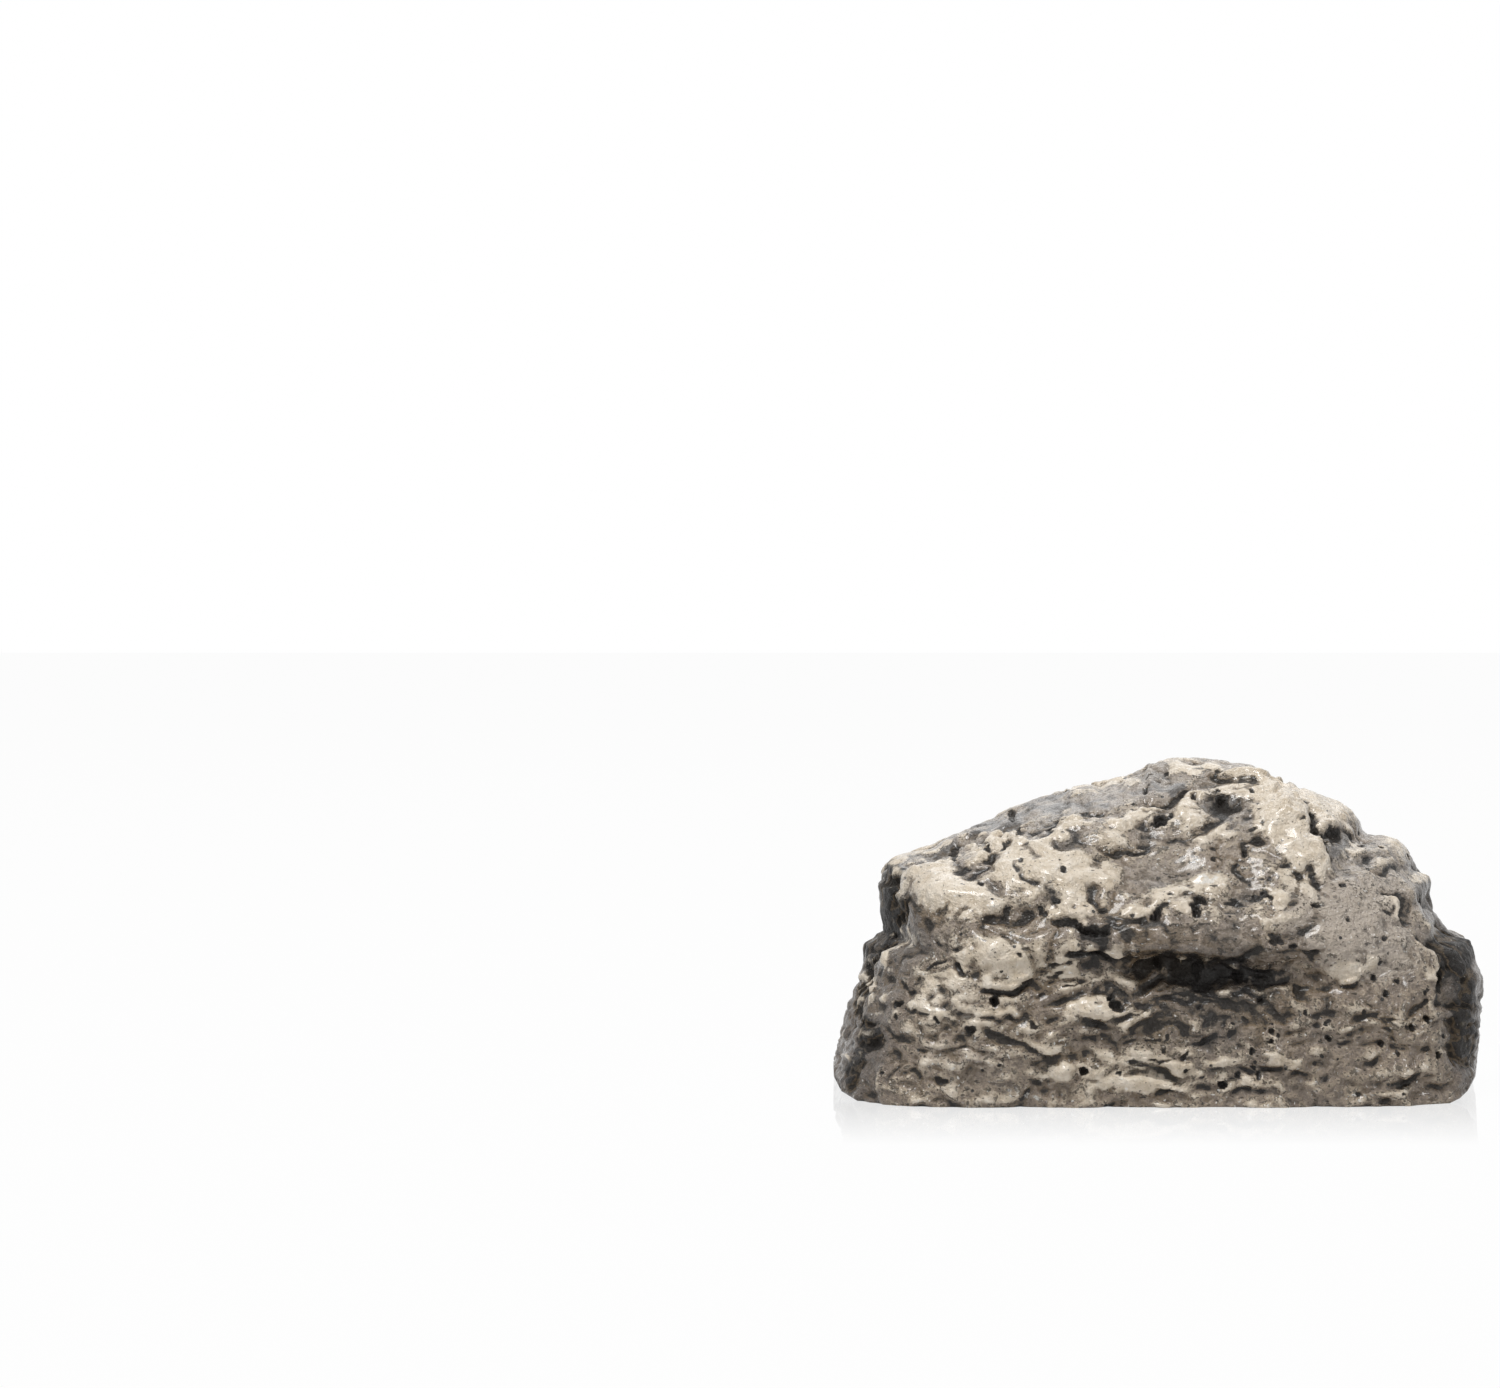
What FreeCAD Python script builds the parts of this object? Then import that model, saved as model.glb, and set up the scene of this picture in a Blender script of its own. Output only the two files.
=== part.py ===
"""Hide-a-key rock: a cast resin stone with a lidded key case set into its underside.

Millimetres. The origin is on the resting face, under the middle of the stone.
X runs along the stone, -Y is its front and +Z is up. The case opens downwards.
"""
import FreeCAD, Part
import math
import os
import Sketcher
from FreeCAD import Placement, Rotation, Vector

SIZES = (
    # The stone
    ("rock_length", 86.4, "overall, along X"),
    ("rock_width", 50.8, "overall, along Y"),
    ("rock_height", 43.5, "overall, from the resting face to the peak"),
    # The room for the keys
    ("key_room_length", 58.8, "inside the case, along X"),
    ("key_room_width", 25.8, "inside the case, along Y"),
    ("key_room_height", 16.0, "from the lid's inner face to the case's roof"),
    ("key_room_corner", 3.0, "corner radius of the key room"),
    # The moulded case
    ("case_wall", 1.4, "walls and roof"),
    ("case_sink", 0.5, "case and lid lie this far inside the resting face"),
    ("ledge_width", 1.5, "the step that the gasket lies on"),
    ("ledge_thickness", 1.1, "flange left above the gasket"),
    ("end_strip", 2.2, "flange beyond the lid's ends"),
    ("side_strip", 4.8, "flange beyond the lid's long sides, for hinge and catch"),
    ("flange_corner", 5.0, "corner radius of the flange"),
    ("casting_gap", 0.3, "between the case and the stone, all round"),
    # The lid
    ("lid_thickness", 1.6, ""),
    ("lid_gap", 0.3, "between the lid's edge and the case"),
    ("hinge_side_gap", 0.6, "the same on the hinge side, which swings"),
    ("plug_height", 0.8, "raised pad that centres the lid in the key room"),
    ("plug_gap", 0.6, "between that pad and the case's walls"),
    ("nail_notch_radius", 3.4, "scoop beside the lid for a fingernail"),
    ("nail_notch_depth", 1.3, ""),
    ("nail_notch_x", 18.0, ""),
    # Seal and lining
    ("gasket_thickness", 0.8, "foam, lightly squeezed"),
    ("gasket_gap", 0.1, "left between gasket and lid so that neither overlaps"),
    ("gasket_margin", 0.15, "gasket to each side of its ledge"),
    ("pad_thickness", 2.0, "foam sheet under the case's roof"),
    ("pad_margin", 0.9, "pad to the case's walls"),
    # The hinge
    ("pin_radius", 0.6, "steel wire"),
    ("pin_length", 48.0, ""),
    ("pin_seat_gap", 0.02, "round the pin in the case"),
    ("pin_running_gap", 0.06, "round the pin in the lid's knuckles"),
    ("knuckle_radius", 1.4, ""),
    ("knuckle_length", 8.0, ""),
    ("knuckle_x", 18.0, "middle of each knuckle, either side"),
    ("knuckle_gap", 0.3, "round each knuckle in its slot"),
    ("swing_relief", 1.1, "depth of the cut that lets the lid swing past upright"),
    # The catch
    ("catch_length", 13.6, "along X, at the thumb face"),
    ("catch_wing", 2.0, "each side, under the case's rails"),
    ("catch_depth", 1.8, "along Y, without the tongue"),
    ("catch_travel", 1.8, "along Y"),
    ("catch_gap", 0.2, "running gap all round"),
    ("catch_rail", 1.1, "thickness of the rails under the wings"),
    ("tongue_length", 12.0, "along X"),
    ("tongue_thickness", 0.5, ""),
    ("rib_height", 0.3, "thumb ribs"),
    ("rib_width", 0.4, ""),
    # The screws
    ("screw_x", 27.5, ""),
    ("screw_head_radius", 1.8, ""),
    ("screw_head_height", 1.0, ""),
    ("screw_shank_radius", 1.0, ""),
    ("screw_shank_length", 8.0, "under the head"),
    ("screw_point", 1.2, "the cone at the end of the shank"),
    ("screw_hole_gap", 0.15, "round the head and shank in the flange"),
    ("screw_pilot_gap", 0.02, "round the shank in the stone"),
    ("screw_slot_width", 0.5, "arms of the cross in the head"),
    ("screw_slot_depth", 0.5, ""),
)

# Heights and places that several pieces share, as expressions on the sheet.
FITS = (
    ("lid_top", "case_sink + lid_thickness"),
    ("ledge_height", "lid_top + gasket_gap + gasket_thickness"),
    ("flange_top", "ledge_height + ledge_thickness"),
    ("roof_height", "lid_top + key_room_height"),
    ("case_top", "roof_height + case_wall"),
    ("key_room_x", "key_room_length / 2"),
    ("key_room_y", "key_room_width / 2"),
    ("rebate_x", "key_room_x + ledge_width"),
    ("rebate_y", "key_room_y + ledge_width"),
    ("rebate_corner", "key_room_corner + ledge_width"),
    ("flange_x", "rebate_x + end_strip"),
    ("flange_y", "rebate_y + side_strip"),
    ("strip_y", "rebate_y + side_strip / 2"),
    ("hinge_z", "case_sink + knuckle_radius"),
    ("knuckle_slot", "knuckle_radius + knuckle_gap"),
    ("lid_south", "lid_gap - rebate_y"),
    ("lid_north", "rebate_y - hinge_side_gap"),
    ("catch_x", "catch_length / 2"),
    ("catch_north", "catch_south + catch_depth"),
    ("catch_south", "catch_travel * -1 - catch_depth - catch_gap - rebate_y"),
    ("catch_wing_x", "catch_x + catch_wing"),
    ("catch_wing_z", "case_sink + catch_rail + catch_gap"),
    ("tongue_north", "0 - rebate_y - catch_gap"),
    ("tongue_bottom", "case_sink + catch_gap"),
    ("tongue_top", "tongue_bottom + tongue_thickness"),
    ("screw_seat", "case_sink + screw_head_height + screw_hole_gap"),
)

# The stone's form, as level lines from the resting face to the peak. Height is a share
# of the stone's height; left and right are shares of half its length, front and back of
# half its width; ridge is where the ends of the line lie between front and back, and
# fullness is 2 for an ellipse and more for a squarer line.
LEVELS = (
    # height, left,  right, front,  back, ridge, fullness
    (0.000, -0.965, 0.950, -0.958, 0.950, 0.00, 3.8),
    (0.030, -0.985, 0.965, -0.970, 0.968, 0.00, 3.6),
    (0.100, -0.975, 0.968, -0.980, 0.985, 0.01, 3.4),
    (0.200, -0.950, 0.968, -0.975, 1.000, 0.01, 3.2),
    (0.300, -0.922, 0.978, -0.965, 0.990, 0.02, 3.0),
    (0.345, -0.908, 0.967, -0.965, 0.980, 0.02, 3.0),
    (0.390, -0.890, 0.947, -0.968, 0.965, 0.03, 2.9),
    (0.420, -0.876, 0.932, -0.972, 0.955, 0.03, 2.9),
    (0.450, -0.860, 0.912, -0.975, 0.945, 0.04, 2.8),
    (0.500, -0.845, 0.870, -0.970, 0.925, 0.05, 2.8),
    (0.560, -0.845, 0.845, -0.920, 0.890, 0.06, 2.7),
    (0.630, -0.842, 0.820, -0.830, 0.830, 0.08, 2.6),
    (0.700, -0.772, 0.758, -0.722, 0.750, 0.10, 2.5),
    (0.770, -0.598, 0.658, -0.592, 0.655, 0.12, 2.4),
    (0.840, -0.418, 0.556, -0.444, 0.540, 0.14, 2.3),
    (0.900, -0.255, 0.440, -0.302, 0.414, 0.14, 2.2),
    (0.950, -0.122, 0.330, -0.178, 0.290, 0.12, 2.1),
    (0.980, -0.042, 0.255, -0.098, 0.208, 0.10, 2.0),
    (1.000, 0.012, 0.195, -0.050, 0.164, 0.08, 2.0),
)

# Swellings and hollows laid over the level lines: name, the turn round the stone in
# degrees (0 is its right end, -90 its front), the height share, how far each spreads
# round and up, and how far it stands out as a share of half the width.
SWELLINGS = (
    ("left front corner", -122, 0.300, 20, 0.330, 0.125),
    ("right front corner", -58, 0.250, 18, 0.300, 0.045),
    ("hollow under the front ledge", -86, 0.385, 30, 0.045, -0.090),
    ("front ledge", -82, 0.460, 28, 0.040, 0.025),
    ("arched hollow on the left", -112, 0.545, 12, 0.035, -0.045),
    ("dished face under the crest", -94, 0.690, 20, 0.075, -0.065),
    ("nose below the peak", -56, 0.790, 14, 0.110, 0.115),
    ("gully under the nose", -50, 0.690, 12, 0.040, -0.055),
    ("dent behind the nose", -32, 0.740, 12, 0.050, -0.060),
    ("back block", -14, 0.840, 14, 0.050, 0.040),
    ("left front shoulder", -138, 0.600, 14, 0.090, 0.060),
    ("left crest", -118, 0.740, 14, 0.045, 0.040),
    ("valley behind the crest", -142, 0.820, 24, 0.050, -0.040),
    ("gully beside the shoulder", -160, 0.480, 12, 0.080, -0.065),
    ("left end dent", 170, 0.260, 14, 0.070, -0.030),
    ("left end shelf", 150, 0.330, 14, 0.060, 0.025),
    ("right front swell", -34, 0.300, 14, 0.150, 0.025),
    ("right flank", -16, 0.560, 12, 0.080, -0.045),
    ("right end bulge", 2, 0.320, 16, 0.060, 0.025),
    ("right end dent", 16, 0.170, 12, 0.060, -0.040),
    ("right back lump", 24, 0.550, 13, 0.050, 0.045),
    ("back left hump", 138, 0.430, 18, 0.140, 0.050),
    ("back left slope", 142, 0.740, 30, 0.130, -0.035),
    ("back left dent", 122, 0.260, 12, 0.080, -0.035),
    ("back ledge", 100, 0.420, 22, 0.040, 0.035),
    ("hollow under the back ledge", 96, 0.330, 22, 0.040, -0.045),
    ("back hollow", 92, 0.600, 16, 0.080, -0.060),
    ("back right hump", 52, 0.640, 16, 0.120, 0.060),
    ("back right dent", 58, 0.300, 12, 0.080, -0.035),
    ("foot of the back", 74, 0.160, 20, 0.080, -0.030),
)
LEVEL_POINTS = 40
CORNERS = ((-1, -1), (-1, 1), (1, -1), (1, 1))      # of the case, where its screws go

doc = FreeCAD.newDocument("key_rock")
sheet = doc.addObject("Spreadsheet::Sheet", "sizes")


def fill_sheet():
    """Write each size, then each fit, to a cell with its own alias."""
    rows = [(alias, repr(amount), note) for alias, amount, note in SIZES]
    rows += [(alias, "=" + formula, "") for alias, formula in FITS]
    for row, (alias, content, note) in enumerate(rows, start=1):
        sheet.set("A%d" % row, alias)
        sheet.setAlias("B%d" % row, alias)
        sheet.set("C%d" % row, note)
    for row, (alias, content, note) in enumerate(rows, start=1):
        sheet.set("B%d" % row, content)
    doc.recompute()


ALIASES = sorted((row[0] for row in SIZES + FITS), key=len, reverse=True)


def bound(formula):
    """The formula with the sheet's name before each alias, as other objects need it."""
    words = []
    for word in formula.replace("(", " ( ").replace(")", " ) ").split():
        words.append("sizes." + word if word in ALIASES else word)
    return " ".join(words)


def size(formula):
    return float(sheet.evalExpression(bound(formula)))


def bind(item, **formulas):
    """Bind properties of an object; a double underscore stands for a dot."""
    for name, formula in formulas.items():
        item.setExpression(name.replace("__", "."), bound(formula))


# ---------------------------------------------------------------- sketches and features

def new_body(name):
    body = doc.addObject("PartDesign::Body", name)
    body.Label = name
    return body


def new_sketch(body, name, plane, offset):
    sketch = body.newObject("Sketcher::SketchObject", name)
    support = [f for f in body.Origin.OriginFeatures if f.Role == plane][0]
    sketch.AttachmentSupport = [(support, "")]
    sketch.MapMode = "FlatFace"
    sketch.setExpression("AttachmentOffset.Base.z", bound(offset))
    return sketch


def hold(sketch, constraint, name, formula):
    """Add a driving constraint and bind it to the sheet."""
    index = sketch.addConstraint(constraint)
    sketch.renameConstraint(index, name)
    sketch.setExpression("Constraints." + name, bound(formula))


def rectangle(body, name, plane, offset, west, east, south, north):
    """A sketch of a plain rectangle between four formulas."""
    sketch = new_sketch(body, name, plane, offset)
    x0, x1, y0, y1 = (size(f) for f in (west, east, south, north))
    corners = [Vector(x0, y0, 0), Vector(x1, y0, 0), Vector(x1, y1, 0), Vector(x0, y1, 0)]
    for i in range(4):
        sketch.addGeometry(Part.LineSegment(corners[i], corners[(i + 1) % 4]), False)
    for i in range(4):
        sketch.addConstraint(Sketcher.Constraint("Coincident", i, 2, (i + 1) % 4, 1))
        sketch.addConstraint(Sketcher.Constraint("Horizontal" if i % 2 == 0 else "Vertical", i))
    hold(sketch, Sketcher.Constraint("DistanceX", -1, 1, 0, 1, x0), "west", west)
    hold(sketch, Sketcher.Constraint("DistanceX", -1, 1, 2, 1, x1), "east", east)
    hold(sketch, Sketcher.Constraint("DistanceY", -1, 1, 0, 1, y0), "south", south)
    hold(sketch, Sketcher.Constraint("DistanceY", -1, 1, 2, 1, y1), "north", north)
    return sketch


def rounded_rectangle(body, name, offset, half_x, south, north, radius):
    """A sketch of a rectangle with round corners, centred on the Y axis."""
    sketch = new_sketch(body, name, "XY_Plane", offset)
    x, y0, y1, r = (size(f) for f in (half_x, south, north, radius))
    middles = [Vector(-x + r, y0 + r, 0), Vector(x - r, y0 + r, 0),
               Vector(x - r, y1 - r, 0), Vector(-x + r, y1 - r, 0)]
    up = Vector(0, 0, 1)
    for i, middle in enumerate(middles):
        start = math.radians(180 + 90 * i)
        arc = Part.ArcOfCircle(Part.Circle(middle, up, r), start, start + math.pi / 2)
        sketch.addGeometry(arc, False)
    for i, middle in enumerate(middles):
        outward = Vector(math.cos(math.radians(270 + 90 * i)), math.sin(math.radians(270 + 90 * i)), 0)
        line = Part.LineSegment(middle + outward * r, middles[(i + 1) % 4] + outward * r)
        sketch.addGeometry(line, False)
    for i in range(4):
        sketch.addConstraint(Sketcher.Constraint("Tangent", i, 2, 4 + i, 1))
        sketch.addConstraint(Sketcher.Constraint("Tangent", 4 + i, 2, (i + 1) % 4, 1))
        sketch.addConstraint(Sketcher.Constraint("Horizontal" if i % 2 == 0 else "Vertical", 4 + i))
    for i in range(1, 4):
        sketch.addConstraint(Sketcher.Constraint("Equal", 0, i))
    hold(sketch, Sketcher.Constraint("Radius", 0, r), "corner", radius)
    hold(sketch, Sketcher.Constraint("DistanceX", -1, 1, 5, 1, x), "east", half_x)
    hold(sketch, Sketcher.Constraint("DistanceX", -1, 1, 7, 1, -x), "west", "0 - ( %s )" % half_x)
    hold(sketch, Sketcher.Constraint("DistanceY", -1, 1, 4, 1, y0), "south", south)
    hold(sketch, Sketcher.Constraint("DistanceY", -1, 1, 6, 1, y1), "north", north)
    return sketch


def circle(body, name, plane, offset, x, y, radius):
    """A sketch of one circle."""
    sketch = new_sketch(body, name, plane, offset)
    middle = Vector(size(x), size(y), 0)
    sketch.addGeometry(Part.Circle(middle, Vector(0, 0, 1), size(radius)), False)
    hold(sketch, Sketcher.Constraint("DistanceX", -1, 1, 0, 3, middle.x), "across", x)
    hold(sketch, Sketcher.Constraint("DistanceY", -1, 1, 0, 3, middle.y), "along", y)
    hold(sketch, Sketcher.Constraint("Radius", 0, size(radius)), "radius", radius)
    return sketch


def pad(body, name, sketch, length, midplane=False):
    """Grow the sketch along its normal."""
    feature = body.newObject("PartDesign::Pad", name)
    feature.Profile = sketch
    feature.Midplane = midplane
    feature.setExpression("Length", bound(length))
    doc.recompute()
    return feature


def pocket(body, name, sketch, length, midplane=False):
    """Cut along the sketch's normal, and make sure that something was cut."""
    before = body.Shape.Volume
    feature = body.newObject("PartDesign::Pocket", name)
    feature.Profile = sketch
    feature.Midplane = midplane
    feature.Reversed = not midplane
    feature.setExpression("Length", bound(length))
    doc.recompute()
    if body.Shape.Volume >= before - 1e-6:
        raise RuntimeError("%s cuts nothing" % name)
    return feature


# ---------------------------------------------------------------- the moulded case

def make_case():
    body = new_body("key_case")
    flange = rounded_rectangle(body, "flange_line", "case_sink", "flange_x", "0 - flange_y",
                               "flange_y", "flange_corner")
    pad(body, "flange", flange, "flange_top - case_sink")
    walls = rounded_rectangle(body, "wall_line", "flange_top", "key_room_x + case_wall",
                              "0 - key_room_y - case_wall", "key_room_y + case_wall",
                              "key_room_corner + case_wall")
    pad(body, "walls", walls, "case_top - flange_top")
    rebate = rounded_rectangle(body, "rebate_line", "case_sink", "rebate_x", "0 - rebate_y",
                               "rebate_y", "rebate_corner")
    pocket(body, "lid_rebate", rebate, "ledge_height - case_sink")
    room = rounded_rectangle(body, "room_line", "case_sink", "key_room_x", "0 - key_room_y",
                             "key_room_y", "key_room_corner")
    pocket(body, "key_room", room, "roof_height - case_sink")
    cut_hinge(body)
    cut_catch_guide(body)
    notch = circle(body, "notch_line", "XY_Plane", "case_sink", "nail_notch_x", "0 - rebate_y",
                   "nail_notch_radius")
    pocket(body, "nail_notch", notch, "nail_notch_depth")
    for side_x, side_y in CORNERS:
        drill_screw_hole(body, side_x, side_y)
    return body


def cut_hinge(body):
    """Slots for the lid's two knuckles, and the bore that the pin is pushed into."""
    for side, name in ((-1, "left"), (1, "right")):
        middle = "knuckle_x * %d" % side
        half = "( knuckle_length / 2 + knuckle_gap )"
        slot = rectangle(body, name + "_slot_line", "XY_Plane", "case_sink",
                         "%s - %s" % (middle, half), "%s + %s" % (middle, half),
                         "rebate_y - lid_gap", "strip_y + knuckle_slot")
        pocket(body, name + "_knuckle_slot", slot, "knuckle_radius + knuckle_slot")
        relief = rectangle(body, name + "_relief_line", "XY_Plane", "case_sink",
                           "%s - %s" % (middle, half), "%s + %s" % (middle, half),
                           "strip_y", "flange_y + casting_gap")
        pocket(body, name + "_swing_relief", relief, "swing_relief")
    bore = circle(body, "bore_line", "YZ_Plane", "0 - pin_length / 2 - pin_seat_gap", "strip_y",
                  "hinge_z", "pin_radius + pin_seat_gap")
    pocket(body, "pin_bore", bore, "pin_length / 2 + flange_x + casting_gap")


def cut_catch_guide(body):
    """The throat that the thumb slide shows through, and the wider way for its wings."""
    throat = rectangle(body, "throat_line", "XY_Plane", "case_sink", "0 - catch_x - catch_gap",
                       "catch_x + catch_gap", "catch_south - catch_gap", "0 - rebate_y")
    pocket(body, "catch_throat", throat, "flange_top - case_sink")
    wings = rectangle(body, "wing_line", "XY_Plane", "case_sink + catch_rail",
                      "0 - catch_wing_x - catch_gap", "catch_wing_x + catch_gap",
                      "catch_south - catch_gap", "0 - rebate_y")
    pocket(body, "catch_wing_way", wings, "flange_top - case_sink - catch_rail")


def corner_name(side_x, side_y):
    return ("left" if side_x < 0 else "right") + ("_front" if side_y < 0 else "_back")


def drill_screw_hole(body, side_x, side_y):
    """A hole for the shank with a wider seat for the head below it."""
    name = corner_name(side_x, side_y)
    x, y = "screw_x * %d" % side_x, "strip_y * %d" % side_y
    head = circle(body, name + "_seat_line", "XY_Plane", "case_sink", x, y,
                  "screw_head_radius + screw_hole_gap")
    pocket(body, name + "_head_seat", head, "screw_seat - case_sink")
    shank = circle(body, name + "_hole_line", "XY_Plane", "screw_seat", x, y,
                   "screw_shank_radius + screw_hole_gap")
    pocket(body, name + "_hole", shank, "flange_top - screw_seat")


# ---------------------------------------------------------------- the lid and its pin

def make_lid():
    body = new_body("lid")
    plate = rounded_rectangle(body, "plate_line", "case_sink", "rebate_x - lid_gap", "lid_south",
                              "lid_north", "rebate_corner - lid_gap")
    pad(body, "plate", plate, "lid_thickness")
    plug = rounded_rectangle(body, "plug_line", "lid_top", "key_room_x - plug_gap",
                             "plug_gap - key_room_y", "key_room_y - plug_gap", "key_room_corner")
    pad(body, "plug", plug, "plug_height")
    for side, name in ((-1, "left"), (1, "right")):
        middle = "knuckle_x * %d" % side
        arm = rectangle(body, name + "_arm_line", "XY_Plane", "case_sink",
                        "%s - knuckle_length / 2" % middle, "%s + knuckle_length / 2" % middle,
                        "lid_north - lid_thickness", "strip_y")
        pad(body, name + "_arm", arm, "lid_thickness")
        barrel = circle(body, name + "_barrel_line", "YZ_Plane", middle, "strip_y", "hinge_z",
                        "knuckle_radius")
        pad(body, name + "_barrel", barrel, "knuckle_length", midplane=True)
        eye = circle(body, name + "_eye_line", "YZ_Plane", middle, "strip_y", "hinge_z",
                     "pin_radius + pin_running_gap")
        pocket(body, name + "_eye", eye, "knuckle_length + knuckle_gap", midplane=True)
    keeper = rectangle(body, "keeper_line", "XY_Plane", "case_sink", "0 - catch_x - catch_gap",
                       "catch_x + catch_gap", "lid_south - lid_gap",
                       "tongue_north + catch_travel + lid_gap")
    pocket(body, "keeper", keeper, "tongue_top + catch_gap - case_sink")
    return body


def make_pin():
    pin = doc.addObject("Part::Cylinder", "hinge_pin")
    pin.Label = "hinge_pin"
    pin.Placement = Placement(Vector(0, 0, 0), Rotation(Vector(0, 1, 0), 90))
    bind(pin, Radius="pin_radius", Height="pin_length", Placement__Base__x="0 - pin_length / 2",
         Placement__Base__y="strip_y", Placement__Base__z="hinge_z")
    return pin


# ---------------------------------------------------------------- the catch

def make_catch():
    """A thumb slide with wings that run on the case's rails and a tongue for the lid."""
    body = new_body("catch_slider")
    thumb = rectangle(body, "thumb_line", "XY_Plane", "tongue_bottom", "0 - catch_x", "catch_x",
                      "catch_south", "catch_north")
    pad(body, "thumb_block", thumb, "flange_top - catch_gap - tongue_bottom")
    wings = rectangle(body, "slider_wing_line", "XY_Plane", "catch_wing_z", "0 - catch_wing_x",
                      "catch_wing_x", "catch_south", "catch_north")
    pad(body, "wings", wings, "flange_top - catch_gap - catch_wing_z")
    tongue = rectangle(body, "tongue_line", "XY_Plane", "tongue_bottom", "0 - tongue_length / 2",
                       "tongue_length / 2", "catch_south", "tongue_north")
    pad(body, "tongue", tongue, "tongue_thickness")
    for i, name in enumerate(("front", "middle", "rear")):
        start = "catch_south + rib_width + rib_width * %d * 2" % i
        rib = rectangle(body, name + "_rib_line", "XY_Plane", "tongue_bottom - rib_height",
                        "0 - tongue_length / 2", "tongue_length / 2", start, start + " + rib_width")
        pad(body, name + "_rib", rib, "rib_height")
    return body


# ---------------------------------------------------------------- seal, lining and screws

def make_gasket():
    body = new_body("lid_gasket")
    outer = rounded_rectangle(body, "gasket_outer", "lid_top + gasket_gap",
                              "rebate_x - gasket_margin", "gasket_margin - rebate_y",
                              "rebate_y - gasket_margin", "rebate_corner - gasket_margin")
    pad(body, "gasket_sheet", outer, "gasket_thickness")
    inner = rounded_rectangle(body, "gasket_inner", "lid_top + gasket_gap",
                              "key_room_x + gasket_margin", "0 - key_room_y - gasket_margin",
                              "key_room_y + gasket_margin", "key_room_corner + gasket_margin")
    pocket(body, "gasket_window", inner, "gasket_thickness")
    return body


def make_pad():
    body = new_body("key_pad")
    line = rounded_rectangle(body, "pad_line", "roof_height - pad_thickness",
                             "key_room_x - pad_margin", "pad_margin - key_room_y",
                             "key_room_y - pad_margin", "key_room_corner")
    pad(body, "pad_sheet", line, "pad_thickness")
    return body


def box(name, length, width, height, x, y, z):
    """A box by formulas: its three sizes and its lowest corner."""
    item = doc.addObject("Part::Box", name)
    bind(item, Length=length, Width=width, Height=height, Placement__Base__x=x,
         Placement__Base__y=y, Placement__Base__z=z)
    return item


def cylinder(name, radius, height, x, y, z):
    item = doc.addObject("Part::Cylinder", name)
    bind(item, Radius=radius, Height=height, Placement__Base__x=x, Placement__Base__y=y,
         Placement__Base__z=z)
    return item


def fuse(name, shapes):
    item = doc.addObject("Part::MultiFuse", name)
    item.Shapes = shapes
    return item


def cut(name, base, tool):
    item = doc.addObject("Part::Cut", name)
    item.Base = base
    item.Tool = tool
    return item


def make_screw(side_x, side_y):
    """A small self-tapping screw, head down, with a cross in its head."""
    name = corner_name(side_x, side_y)
    x, y = "screw_x * %d" % side_x, "strip_y * %d" % side_y
    head = cylinder(name + "_head", "screw_head_radius", "screw_head_height", x, y,
                    "screw_seat - screw_head_height")
    shank = cylinder(name + "_shank", "screw_shank_radius", "screw_shank_length - screw_point",
                     x, y, "screw_seat")
    point = doc.addObject("Part::Cone", name + "_point")
    point.Radius2 = 0
    bind(point, Radius1="screw_shank_radius", Height="screw_point", Placement__Base__x=x,
         Placement__Base__y=y, Placement__Base__z="screw_seat + screw_shank_length - screw_point")
    bottom = "screw_seat - screw_head_height"
    arms = []
    for arm, length, width in (("long", "screw_head_radius * 1.2", "screw_slot_width"),
                               ("cross", "screw_slot_width", "screw_head_radius * 1.2")):
        arms.append(box("%s_%s_arm" % (name, arm), length, width, "screw_slot_depth",
                        "%s - %s / 2" % (x, length), "%s - %s / 2" % (y, width), bottom))
    solid = fuse(name + "_blank", [head, shank, point])
    return cut(name + "_screw", solid, fuse(name + "_cross", arms))


def make_screws():
    screws = doc.addObject("Part::Compound", "case_screws")
    screws.Label = "case_screws"
    screws.Links = [make_screw(side_x, side_y) for side_x, side_y in CORNERS]
    return screws


# ---------------------------------------------------------------- the stone

def swelling(turn, height):
    """How far the stone stands out here, as a share of half its width."""
    total = 0.0
    for _, at_turn, at_height, spread_turn, spread_height, amount in SWELLINGS:
        away = (turn - at_turn + 180) % 360 - 180
        total += amount * math.exp(-(away / spread_turn) ** 2
                                   - ((height - at_height) / spread_height) ** 2)
    return total


def level_points(level):
    """Points along one level line, as shares of half the stone's length and width."""
    height, left, right, front, back, ridge, fullness = level
    slenderness = size("rock_width / rock_length")
    points = []
    for i in range(LEVEL_POINTS):
        turn = 360 * i / LEVEL_POINTS - 180
        c, s = math.cos(math.radians(turn)), math.sin(math.radians(turn))
        along = math.copysign(abs(c) ** (2 / fullness), c)
        across = math.copysign(abs(s) ** (2 / fullness), s)
        out = swelling(turn, height)
        x = (left + right) / 2 + along * (right - left) / 2 + out * c * slenderness
        y = ridge + across * (back - ridge if s > 0 else ridge - front) + out * s
        points.append((x, y))
    return points


def level_curves():
    """The level lines, set to the stone's overall length and width."""
    lines = [level_points(level) for level in LEVELS]
    reach = []
    for axis in (0, 1):
        places = [point[axis] for line in lines for point in line]
        reach.append(((max(places) + min(places)) / 2, (max(places) - min(places)) / 2))
    curves = []
    for level, line in zip(LEVELS, lines):
        points = [Vector(size("rock_length / 2") * (x - reach[0][0]) / reach[0][1],
                         size("rock_width / 2") * (y - reach[1][0]) / reach[1][1],
                         size("rock_height") * level[0]) for x, y in line]
        curve = Part.BSplineCurve()
        curve.interpolate(points, PeriodicFlag=True)
        curves.append(Part.Wire([curve.toShape()]))
    return curves


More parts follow.
